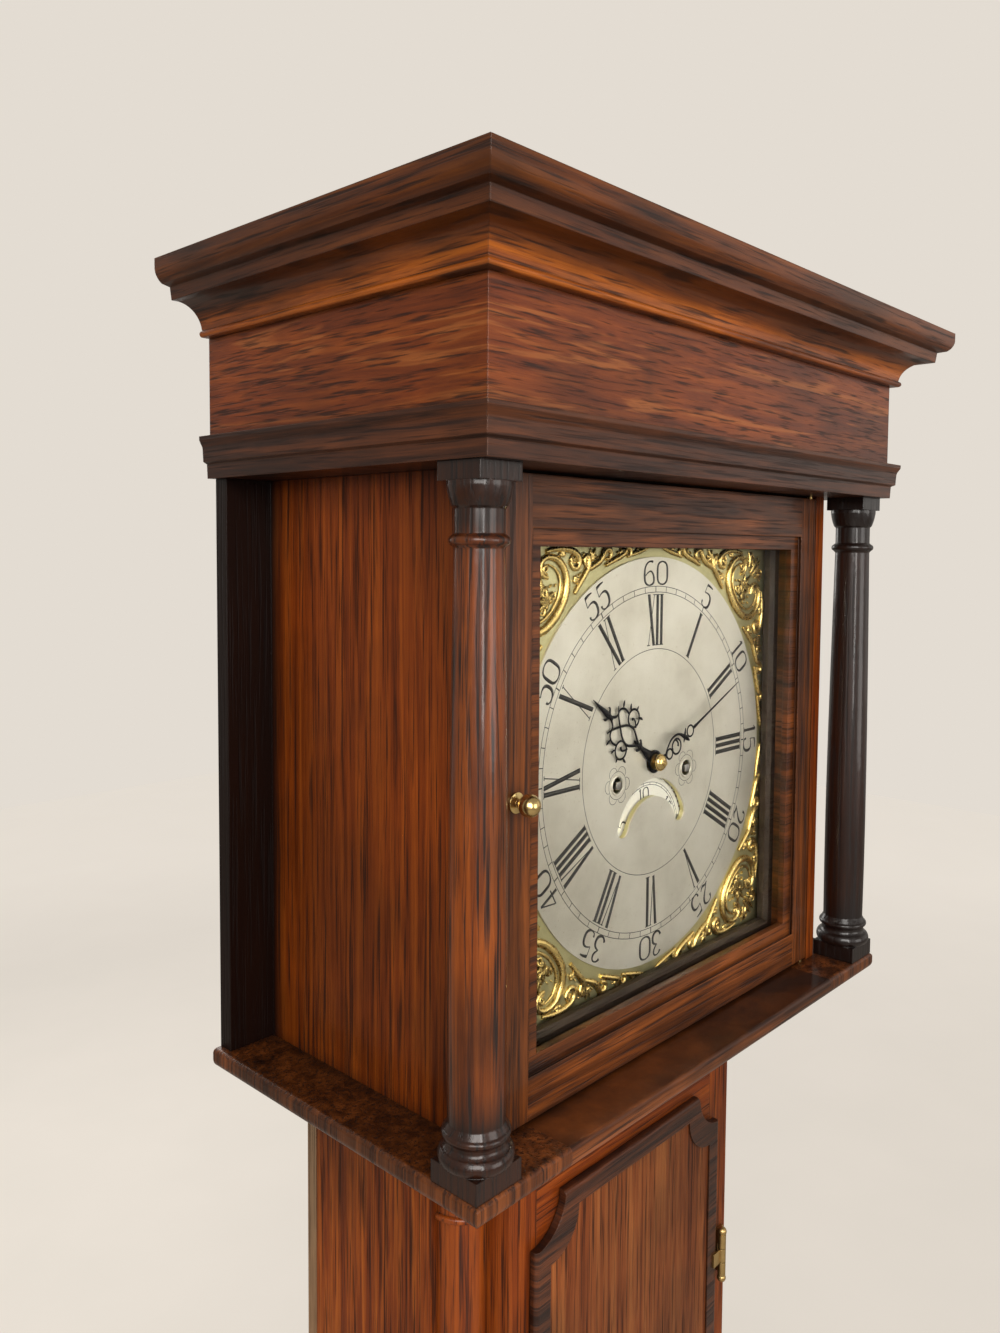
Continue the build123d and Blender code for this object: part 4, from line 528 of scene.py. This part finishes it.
def romanNumeral(drawing, text, clockAngle):
    # feet towards the centre, thick strokes for I and one leg of V and X, hairlines for the other
    wide = {"I": 0.0049, "V": 0.0092, "X": 0.0096}
    low, high = chapter["hourInner"] + chapter["gap"], chapter["hourOuter"] - chapter["gap"]
    across = -sum(wide[letter] for letter in text) / 2
    outX, outZ = polar(1.0, clockAngle)

    def place(u, r):
        return outZ * u + outX * r, outZ * r - outX * u

    def bar(u1, r1, u2, r2, width):
        drawing.stroke([place(u1, r1), place(u2, r2)], width)

    def serif(u, r, half):
        bar(u - half, r, u + half, r, chapter["serif"])

    for letter in text:
        half = wide[letter] / 2
        middle = across + half
        left, right = middle - half * 0.62, middle + half * 0.70
        if letter == "I":
            bar(middle, low, middle, high, chapter["thick"])
            serif(middle, low, half * 0.95)
            serif(middle, high, half * 0.95)
        if letter == "V":
            bar(left, high, middle + half * 0.05, low, (chapter["thick"], chapter["thick"] * 0.8))
            bar(right, high, middle + half * 0.10, low, (chapter["thin"] * 1.5, chapter["thin"]))
            serif(left, high, half * 0.36)
            serif(right, high, half * 0.26)
        if letter == "X":
            bar(left, high, right, low, chapter["thick"])
            bar(right, high, left, low, chapter["thin"])
            for r in (low, high):
                serif(left, r, half * 0.34)
                serif(right, r, half * 0.3)
        across += wide[letter]


# Engraver's figures in a cell one unit tall: each stroke lists x, z and weight, from 0 hairline to 1 full
figureStrokes = {
    "0": [[(0.0, 1.0, 0.1), (-0.33, 0.88, 0.7), (-0.36, 0.5, 1.1), (-0.33, 0.12, 0.7), (0.0, 0.0, 0.1),
           (0.33, 0.12, 0.7), (0.36, 0.5, 1.1), (0.33, 0.88, 0.7)]],
    "1": [[(0.0, 0.0, 0.9), (0.0, 0.5, 0.9), (0.0, 1.0, 0.9)], [(-0.16, 0.84, 0.0), (-0.04, 0.94, 0.3),
                                                              (0.0, 1.0, 0.6)],
          [(-0.14, 0.0, 0.0), (0.14, 0.0, 0.0)]],
    "2": [[(-0.22, 0.74, 1.0), (-0.26, 0.92, 0.2), (0.0, 1.04, 0.1), (0.30, 0.92, 0.8), (0.26, 0.62, 1.0),
           (0.0, 0.34, 0.4), (-0.28, 0.03, 0.0)],
          [(-0.28, 0.05, 0.2), (-0.1, 0.14, 0.7), (0.12, 0.0, 0.9), (0.30, 0.18, 0.0)]],
    "3": [[(-0.22, 0.84, 1.0), (-0.14, 1.0, 0.1), (0.20, 1.02, 0.3), (0.26, 0.72, 1.0), (0.0, 0.55, 0.0)],
          [(0.0, 0.55, 0.0), (0.32, 0.52, 0.9), (0.32, 0.06, 1.1), (-0.14, -0.04, 0.2),
           (-0.24, 0.18, 1.0)]],
    "4": [[(0.12, 0.0, 0.9), (0.12, 0.5, 0.9), (0.12, 1.0, 0.7)], [(0.12, 1.0, 0.2), (-0.32, 0.30, 0.1)],
          [(-0.34, 0.29, 0.2), (0.32, 0.29, 0.2)]],
    "5": [[(-0.20, 0.94, 0.9), (0.04, 1.0, 0.7), (0.26, 0.96, 0.1)],
          [(-0.20, 0.96, 0.0), (-0.22, 0.56, 0.0)],
          [(-0.22, 0.56, 0.0), (0.02, 0.66, 0.2), (0.32, 0.54, 1.0), (0.32, 0.08, 1.1), (0.0, -0.06, 0.2),
           (-0.28, 0.04, 0.2), (-0.24, 0.18, 0.9)]],
    "6": [[(0.24, 0.96, 0.6), (0.0, 1.02, 0.1), (-0.32, 0.78, 0.6), (-0.36, 0.36, 1.1), (-0.26, 0.02, 0.7),
           (0.0, 0.0, 0.1)],
          [(0.0, 0.0, 0.1), (0.30, 0.04, 0.7), (0.32, 0.34, 1.0), (0.16, 0.58, 0.3), (-0.06, 0.58, 0.1),
           (-0.32, 0.36, 0.1)]],
}
figureWidth = {"0": 0.92, "1": 0.5, "2": 0.82, "3": 0.80, "4": 0.84, "5": 0.80, "6": 0.90}


def engraveNumber(drawing, number, radius, clockAngle, tall, thick, thin, centre=(0, 0)):
    # figures stand on the circle of radius, feet towards centre
    text = str(number)
    across = -sum(figureWidth[letter] for letter in text) / 2
    outX, outZ = polar(1.0, clockAngle)
    for letter in text:
        middle = across + figureWidth[letter] / 2
        for line in figureStrokes[letter]:
            points = []
            for x, z, weight in line:
                u, r = (middle + x) * tall, radius + (z - 0.5) * tall
                points.append((centre[0] + outZ * u + outX * r, centre[1] + outZ * r - outX * u))
            widths = [thin + (thick - thin) * weight for x, z, weight in line]
            drawing.stroke(points, widths, closed=letter == "0", smooth=len(line) > 2)
        across += figureWidth[letter]


def engraveChapters():
    drawing = Drawing("chapter_engraving", resolution=0, sections=5)
    for radius in (chapter["minuteOuter"], chapter["minuteInner"], chapter["centreRing"]):
        drawing.ring(radius, chapter["line"])
    for minute in range(60):
        ends = [polar(chapter["minuteInner"], minute * 6), polar(chapter["minuteOuter"], minute * 6)]
        drawing.stroke(ends, chapter["fifthTick"] if minute % 5 == 0 else chapter["tick"])
    hours = ("XII", "I", "II", "III", "IIII", "V", "VI", "VII", "VIII", "IX", "X", "XI")
    for hour, text in enumerate(hours):
        romanNumeral(drawing, text, hour * 30)
    for minute in range(5, 65, 5):
        engraveNumber(drawing, minute, chapter["minuteFigure"], minute * 6, chapter["figureTall"],
                      chapter["figureThick"], chapter["figureThin"])
    drawing.make(wax, "case", "steel", dialCentre.y, hair)


winding = {"x": 0.041, "z": -0.0105, "bush": 0.0064, "bushWide": 0.0017, "bushHigh": 0.0006,
           "ring": 0.0094, "gap": 0.0005, "lobe": 0.0129, "lobes": 6, "lobeTurn": 50, "line": 0.00034}


def engraveWindingHoles():
    # two fine rings and six engraved lobes round each hole
    drawing = Drawing("winding_engraving", resolution=0, sections=4)
    for side in (-1, 1):
        centre = (side * winding["x"], winding["z"])
        drawing.ring(winding["ring"], winding["line"], centre, steps=72)
        for lobe in range(winding["lobes"]):
            turn = lobe * 60 + 30
            arc = []
            for step in range(13):
                share = step / 12
                swell = (winding["lobe"] - winding["ring"]) * math.sin(math.pi * share) ** 0.6
                reach = winding["ring"] + winding["gap"] + swell
                x, z = polar(reach, turn + (share - 0.5) * winding["lobeTurn"])
                arc.append((x + centre[0], z + centre[1]))
            drawing.stroke(arc, winding["line"])
    drawing.make(wax, "case", "steel", dialCentre.y, hair)


def windingBushes():
    # turned rings let into the disc round the holes
    drawing = Drawing("winding_bushes", resolution=2)
    for side in (-1, 1):
        centre = (side * winding["x"], winding["z"])
        drawing.ring(winding["bush"], winding["bushWide"], centre, steps=64)
    drawing.make(silver, "case", "silvered", dialCentre.y, winding["bushHigh"])


date = {"drop": 0.055, "figure": 0.0318, "tall": 0.0088, "thick": 0.0013, "thin": 0.0005, "track": 0.0392,
        "tick": 0.0018, "line": 0.0004, "now": 10.5, "days": 31}


def engraveDate():
    # the date disc's own figures: each fifth day, inside a ring of ticks
    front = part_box("date_disc")[0][1]
    centre = (0, -date["drop"])
    drawing = Drawing("date_engraving", resolution=0, sections=4)
    drawing.ring(date["track"], date["line"], centre)
    drawing.ring(date["track"] - date["tick"], date["line"], centre)
    for day in range(1, date["days"] + 1):
        turn = (day - date["now"]) * 360 / date["days"]
        ends = [polar(date["track"] - date["tick"], turn), polar(date["track"], turn)]
        drawing.stroke([(x + centre[0], z + centre[1]) for x, z in ends], date["line"])
        if day % 5 == 0:
            engraveNumber(drawing, day, date["figure"], turn, date["tall"], date["thick"], date["thin"],
                          centre)
    drawing.make(wax, "date", "steel", front, hair)


engraveChapters()
engraveWindingHoles()
windingBushes()
engraveDate()
print("dial engraved")


# Spandrels: one rococo casting drawn on its diagonal for each corner, in millimetres, u out from the
# dial's centre and v across
casting = {"turns": (45, 135, 225, 315), "full": 1.22, "bedding": 0.0006, "high": 0.0021}


class Scrollwork:
    # draws each stroke on both sides of the diagonal
    def __init__(self, drawing, turn, full=1.0):
        self.drawing = drawing
        self.turn = turn
        self.full = full

    def place(self, u, v):
        outX, outZ = polar(1.0, self.turn)
        return (outX * u + outZ * v) / 1000, (outZ * u - outX * v) / 1000

    def line(self, points, widths):
        for side in (1, -1):
            self.drawing.stroke([self.place(u, side * v) for u, v in points],
                                [w * self.full / 1000 for w in widths], smooth=True)

    def leaf(self, u, v, angle, length, width, bend=0.0):
        # a leaf springs from u, v; angle from the diagonal towards +v, bend turns its tip on
        points = []
        for share in (0, 0.3, 0.6, 0.85, 1.0):
            a = math.radians(angle + bend * share)
            points.append((u + length * share * math.cos(a), v + length * share * math.sin(a)))
        self.line(points, (width * 0.5, width, width * 0.95, width * 0.5, 0.3))

    def fan(self, u, v, angle, spread, count, length, width):
        for index in range(count):
            share = index / (count - 1) - 0.5
            shorter = 1 - 0.5 * abs(2 * share) ** 1.5
            self.leaf(u, v, angle + spread * share, length * shorter, width, bend=spread * share * 0.5)

    def curl(self, u, v, radius, start, sweep, width, tail=0.3):
        # a volute that winds into its eye, with a bead there
        points, widths = [], []
        steps = 9
        for step in range(steps):
            share = step / (steps - 1)
            reach = radius * (1 - (1 - tail) * share)
            a = math.radians(start + sweep * share)
            points.append((u + reach * math.cos(a), v + reach * math.sin(a)))
            widths.append(width * (0.55 + 0.6 * math.sin(math.pi * min(1, share * 1.3))))
        self.line(points, widths)
        self.line([points[-1], (points[-1][0] + 0.1, points[-1][1]), (points[-1][0] + 0.6, points[-1][1])],
                  (width * 1.1, width * 1.5, width * 1.1))


def drawSpandrel(work):
    # cup scroll on the diagonal, open to the corner
    work.line([(149, 0), (149.5, 13), (158, 24), (171, 27), (182, 20), (183, 11), (176, 7), (171.5, 11)],
              (5.2, 5.0, 4.6, 4.2, 3.8, 3.4, 2.8, 2.2))
    work.line([(154.5, 0), (155, 10), (161, 18), (170, 21), (177, 17)], (2.0, 2.0, 1.9, 1.7, 1.0))
    work.curl(176.5, 13.5, 3.4, 200, 380, 2.0)
    # flower in the cup and the plume that fills the corner
    work.fan(160, 0, 0, 150, 7, 12, 3.4)
    work.fan(168, 0, 0, 110, 5, 13, 3.0)
    work.leaf(182, 1.5, 8, 18, 3.6, bend=-6)
    work.leaf(184, 6, 22, 12, 3.0, bend=30)
    work.leaf(188, 3, 34, 9, 2.6, bend=40)
    work.curl(193, 8.5, 4.0, 250, -330, 2.4)
    work.curl(160.5, 6.5, 3.0, 90, 300, 1.8)
    # scroll that runs along the edge of the plate
    work.line([(184, 21), (179, 29), (169, 38.5), (160, 42), (154.5, 37), (158, 31), (163.5, 33)],
              (2.4, 3.2, 3.8, 4.0, 3.6, 3.0, 2.2))
    work.curl(162, 36, 3.0, 30, -300, 2.0)
    work.fan(171, 30, 42, 90, 4, 8, 2.4)
    work.fan(153, 28, 150, 80, 4, 7, 2.4)
    # arm between the disc and the plate's edge: a long S with leaves on its outer side
    work.line([(146, 22), (147, 34), (148, 45), (154.5, 49), (155, 43), (150.5, 42)],
              (2.4, 3.6, 4.2, 3.6, 3.0, 2.2))
    work.line([(148, 40), (143.5, 50), (142, 58), (144.5, 63.5), (140, 68), (135, 64.5), (138.5, 60)],
              (2.8, 4.0, 4.2, 3.8, 3.4, 2.8, 2.2))
    work.fan(150, 49, 78, 100, 5, 8.5, 2.6)
    work.fan(143, 61, 60, 80, 4, 6.0, 2.2)
    work.line([(136, 57), (131, 68), (127, 77), (129, 81.5), (124.5, 84), (121, 80.5), (123.5, 77.5)],
              (2.4, 3.6, 3.8, 3.4, 3.0, 2.4, 1.8))
    work.fan(130, 73, 75, 70, 4, 6.5, 2.2)
    work.line([(122, 80), (118.5, 86), (115, 92), (111.5, 98), (110, 101)], (2.0, 3.2, 3.0, 2.2, 0.8))
    work.leaf(119, 86, 70, 6.0, 2.2, bend=30)
    work.leaf(114.5, 92.5, 75, 4.5, 1.8, bend=30)
    for u, v, size in ((166, 9, 2.6), (163, 12.5, 2.2), (171, 4, 2.4), (187, 12.5, 2.4), (151, 34, 2.4),
                       (146, 54, 2.2), (133, 72, 2.0), (157.5, 45.5, 2.4), (176, 24.5, 2.2)):
        work.line([(u, v), (u + 0.3, v), (u + 0.6, v)], (size, size * 1.2, size))


def castSpandrels():
    castings = []
    for turn in casting["turns"]:
        drawing = Drawing("spandrel_casting", resolution=1, sections=3)
        drawSpandrel(Scrollwork(drawing, turn, full=casting["full"]))
        piece = drawing.make(castBrass, "case", "brass", plateFront - casting["bedding"],
                             casting["high"])
        piece.data.polygons.foreach_set("use_smooth", [True] * len(piece.data.polygons))
        castings.append(piece)
    clearSelection()
    for piece in castings:
        piece.select_set(True)
    bpy.context.view_layer.objects.active = castings[0]
    bpy.ops.object.join()
    piece = bpy.context.object
    piece.name = "spandrel_castings"
    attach(piece, "case")
    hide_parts("spandrels")


castSpandrels()
print("spandrels cast")


# Hands: pierced scrollwork drawn flat along the hand, u out from the centre and v across, in millimetres
# hour and minute are the angles they stand at, clockwise from twelve; flat squeezes their depth
hands = {"hour": 305.5, "minute": 65.5, "flat": 0.16}


class HandWork(Scrollwork):
    # single strokes may cross the middle line, pairs are drawn by line
    def stroke(self, points, widths):
        self.drawing.stroke([self.place(u, v) for u, v in points], [w / 1000 for w in widths], smooth=True)

    def hoop(self, u, v, radius, width):
        turns = [2 * math.pi * step / 12 for step in range(12)]
        points = [self.place(u + radius * math.cos(a), v + radius * math.sin(a)) for a in turns]
        self.drawing.stroke(points, [width / 1000] * 12, closed=True, smooth=True)


def handPiece(work, body, node):
    # the scrolls stand half before and half behind the middle of the plain hand they replace
    low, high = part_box(node)
    piece = work.drawing.make(blueSteel, body, "steel", (low[1] + high[1]) / 2, 0, flatten=hands["flat"])
    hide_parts(node)


def hourHand():
    work = HandWork(Drawing("hour_hand_fretted", resolution=1, sections=4), hands["hour"])
    work.hoop(0, 0, 6.9, 3.2)
    # neck with a knuckle, then the stem parts into crossing scrolls
    work.stroke([(7, 0), (14, 0), (19, 0), (24, 0)], (9.0, 6.0, 3.4, 3.8))
    work.line([(20, 0), (22.5, 2.5), (24, 4.5), (25, 3.0)], (2.6, 2.6, 2.0, 0.8))
    work.leaf(24, 0, 0, 7, 3.0)
    work.line([(24, 0), (29, 3.0), (36, 7.0), (43, 5.5), (50, 0.2), (57, -6.0), (60, -10.5)],
              (2.4, 2.2, 2.0, 1.9, 1.9, 1.8, 1.2))
    work.hoop(40, 12.2, 6.4, 1.7)
    work.hoop(40, -12.2, 6.4, 1.7)
    work.line([(34, 8.0), (36, 10.5), (39.5, 12.5), (41.5, 10.5)], (1.6, 1.6, 1.8, 2.6))
    work.leaf(34.5, 15.5, 150, 4.6, 2.2, bend=20)
    work.leaf(46.0, 15.2, 40, 4.6, 2.2, bend=20)
    work.leaf(40, 18.4, 90, 3.4, 1.8)
    # upper pair of scrolls closing on the point
    work.line([(46.5, 12.0), (52, 13.5), (57.5, 9.5), (56.5, 4.2), (61, 0.8), (65, 0)],
              (1.7, 1.9, 1.8, 1.8, 2.2, 2.4))
    work.leaf(54.5, 12.5, 60, 5.0, 2.4, bend=10)
    work.line([(64, 0), (66, 2.8), (67.5, 5.2), (69.0, 4.0)], (2.4, 2.2, 1.6, 0.6))
    work.stroke([(60, 0), (66, 0), (72, 0), (80, 0), (86, 0)], (2.6, 5.6, 4.0, 1.9, 0.7))
    handPiece(work, "hour", "hour_hand")


def minuteHand():
    work = HandWork(Drawing("minute_hand_fretted", resolution=1, sections=4), hands["minute"])
    work.hoop(0, 0, 4.9, 3.0)
    work.stroke([(5, 0), (7.5, 0), (9.5, 0)], (6.5, 4.4, 3.0))
    work.hoop(13.0, 1.4, 3.7, 1.6)
    # an S runs through two rings to a leaf
    work.stroke([(9, -1), (13, -4.6), (20, -7.6), (28, -6.4), (32.5, -1.5), (37, 2.2)],
                (1.8, 1.8, 1.8, 1.9, 2.6, 3.4))
    work.hoop(22.5, 1.0, 5.6, 1.7)
    work.stroke([(23, -4), (26.5, -0.8), (24.0, 1.8)], (1.4, 1.5, 2.4))
    work.stroke([(16.2, 0.4), (17.2, 0.6), (18.0, 0.8)], (2.2, 2.6, 2.2))
    work.stroke([(30, -4.5), (34, 0), (37, 3.6), (38.5, 5.8)], (2.2, 4.2, 3.6, 1.2))
    work.stroke([(31.5, 3.4), (34, 0), (36.5, -3.2), (37.5, -5.2)], (1.0, 3.0, 2.4, 1.0))
    work.hoop(42.0, 0, 4.2, 1.6)
    work.stroke([(45.5, 0), (47.5, 0), (52, 0), (80, 0), (106, 0), (114, 0)],
                (2.0, 3.6, 2.1, 1.7, 1.3, 0.6))
    handPiece(work, "centre", "minute_hand")


hourHand()
minuteHand()
print("hands fretted")


# Fittings: turned collet and pin at the centre, steel squares in the winding holes
def turned(name, profile, centre, axis, material, body, steps=48):
    # profile lists reach from the axis and place along it, in metres; spun once round
    mesh = bpy.data.meshes.new(name)
    piece = bpy.data.objects.new(name, mesh)
    bpy.context.collection.objects.link(piece)
    corners = [centre + Vector((reach, 0, 0)) + axis * along for reach, along in profile]
    mesh.from_pydata([tuple(c) for c in corners], [(i, i + 1) for i in range(len(corners) - 1)], [])
    clearSelection()
    piece.select_set(True)
    bpy.context.view_layer.objects.active = piece
    bpy.ops.object.mode_set(mode="EDIT")
    bpy.ops.mesh.select_all(action="SELECT")
    bpy.ops.mesh.spin(steps=steps, angle=math.tau, center=tuple(centre), axis=tuple(axis))
    bpy.ops.mesh.select_all(action="SELECT")
    bpy.ops.mesh.remove_doubles(threshold=0.00001)
    bpy.ops.mesh.normals_make_consistent(inside=False)
    bpy.ops.object.mode_set(mode="OBJECT")
    bpy.ops.object.shade_smooth_by_angle(angle=smoothAngle)
    mesh.materials.append(material)
    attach(piece, body)


def centreCollet():
    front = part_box("minute_hand")[0][1]
    profile = [(0.0, 0.0050), (0.0016, 0.0048), (0.0018, 0.0034), (0.0030, 0.0032), (0.0052, 0.0020),
               (0.0060, 0.0006), (0.0060, 0.0)]
    place = Vector((dialCentre.x, front, dialCentre.z))
    turned("centre_collet", profile, place, Vector((0, -1, 0)), bobBrass, "centre")


square = {"side": 0.0053, "long": 0.0060, "behind": 0.0029, "arris": 0.0005}


def windingSquares():
    for side, body in ((1, "going_barrel"), (-1, "strike_barrel")):
        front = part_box(body)[0][1]
        clearSelection()
        bpy.ops.mesh.primitive_cube_add(size=1, location=(side * winding["x"], front + square["behind"],
                                                          dialCentre.z + winding["z"]))
        piece = bpy.context.object
        piece.scale = (square["side"], square["long"], square["side"])
        bpy.ops.object.transform_apply(location=True, rotation=True, scale=True)
        bpy.ops.object.modifier_add(type="BEVEL")
        piece.modifiers[0].width = square["arris"]
        piece.modifiers[0].segments = 3
        bpy.ops.object.modifier_apply(modifier=piece.modifiers[0].name)
        bpy.ops.object.shade_smooth_by_angle(angle=smoothAngle)
        piece.name = body + "_square"
        piece.data.materials.append(plainSteel)
        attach(piece, body)


centreCollet()
windingSquares()
print("fittings turned")


# Stage: a pale floor, a plain pale room and soft lights
stage = {"floorSize": 14, "floorDark": (0.40, 0.375, 0.34), "floorPale": (0.43, 0.40, 0.365),
         "wall": (0.77, 0.715, 0.645), "room": (0.34, 0.32, 0.29), "lamp": (1.0, 0.97, 0.93),
         "near": 2.5, "nearGlow": 0.53, "far": 6.5, "farGlow": 0.80}


def paleFloor():
    clearSelection()
    bpy.ops.mesh.primitive_plane_add(size=stage["floorSize"], location=(0, 0, 0))
    floor = bpy.context.object
    floor.name = "floor"
    material, tree, shader = startMaterial("pale floor")
    mottle = noiseAt(tree, objectPlace(tree), Scale=3.0, Detail=5.0)
    tone = rampNode(tree, mottle, [(0.3, stage["floorDark"]), (0.7, stage["floorPale"])])
    join(tree, tone, shader.inputs["Base Color"])
    shader.inputs["Roughness"].default_value = 0.75
    rays = addNode(tree, "ShaderNodeLightPath")
    shader.inputs["Emission Color"].default_value = (*stage["wall"], 1)
    # the far floor glows a little more, so that it runs into the pale wall without a line
    far = addNode(tree, "ShaderNodeMapRange", **{"From Min": stage["near"], "From Max": stage["far"],
                                                 "To Min": stage["nearGlow"], "To Max": stage["farGlow"]})
    join(tree, rays.outputs["Ray Length"], far.inputs["Value"])
    glow = mathNode(tree, "MULTIPLY", rays.outputs["Is Camera Ray"], far.outputs[0])
    join(tree, glow, shader.inputs["Emission Strength"])
    floor.data.materials.append(material)


def softLight(name, place, aim, size, power):
    data = bpy.data.lights.new(name, "AREA")
    data.shape = "RECTANGLE"
    data.size, data.size_y = size
    data.energy = power
    data.color = stage["lamp"]
    lamp = bpy.data.objects.new(name, data)
    lamp.location = place
    lamp.rotation_euler = (Vector(aim) - Vector(place)).to_track_quat("-Z", "Y").to_euler()
    bpy.context.collection.objects.link(lamp)


def roomLight():
    # seen straight or through the pane the room is pale, elsewhere it only fills the shadows
    world = bpy.data.worlds.new("pale room")
    bpy.context.scene.world = world
    world.use_nodes = True
    tree = world.node_tree
    rays = addNode(tree, "ShaderNodeLightPath")
    seen = mathNode(tree, "MAXIMUM", rays.outputs["Is Camera Ray"], rays.outputs["Is Transmission Ray"])
    colour = mixColour(tree, seen, stage["room"], stage["wall"])
    join(tree, colour, tree.nodes["Background"].inputs["Color"])


def setCamera():
    # the photograph's own place: close to the hood, a little above the dial, from the left of the front
    settings = {"place": (-0.593, -0.455, 1.812), "yaw": 47.0, "pitch": -3.34, "roll": 0.4,
                "lens": 28.01, "shift": (-0.0042, -0.0398)}
    data = bpy.data.cameras.new("camera")
    data.sensor_fit = "VERTICAL"
    data.sensor_height = 36
    data.lens = settings["lens"]
    data.shift_x, data.shift_y = settings["shift"]
    data.clip_start = 0.01
    camera = bpy.data.objects.new("camera", data)
    turn = Matrix.Rotation(math.radians(-settings["yaw"]), 4, "Z")
    tilt = Matrix.Rotation(math.radians(90 + settings["pitch"]), 4, "X")
    roll = Matrix.Rotation(math.radians(settings["roll"]), 4, "Z")
    camera.matrix_world = Matrix.Translation(settings["place"]) @ turn @ tilt @ roll
    bpy.context.collection.objects.link(camera)
    bpy.context.scene.camera = camera


paleFloor()
roomLight()
softLight("window", (-2.6, -2.2, 2.9), (0, 0, 1.5), (2.0, 2.0), 90)
softLight("fill", (0.7, -3.4, 1.9), (0, 0, 1.2), (1.8, 1.8), 34)
softLight("side", (2.7, -1.9, 2.2), (0, 0, 1.7), (1.8, 1.8), 4)
softLight("streak", (-1.3, -2.1, 2.1), (-0.2, -0.1, 1.67), (0.22, 1.5), 14)
softLight("back", (0.6, 3.0, 2.6), (0, 0, 1.2), (2.0, 2.0), 40)
setCamera()
bpy.context.scene.view_settings.view_transform = "Standard"
print("stage, lights and camera placed")
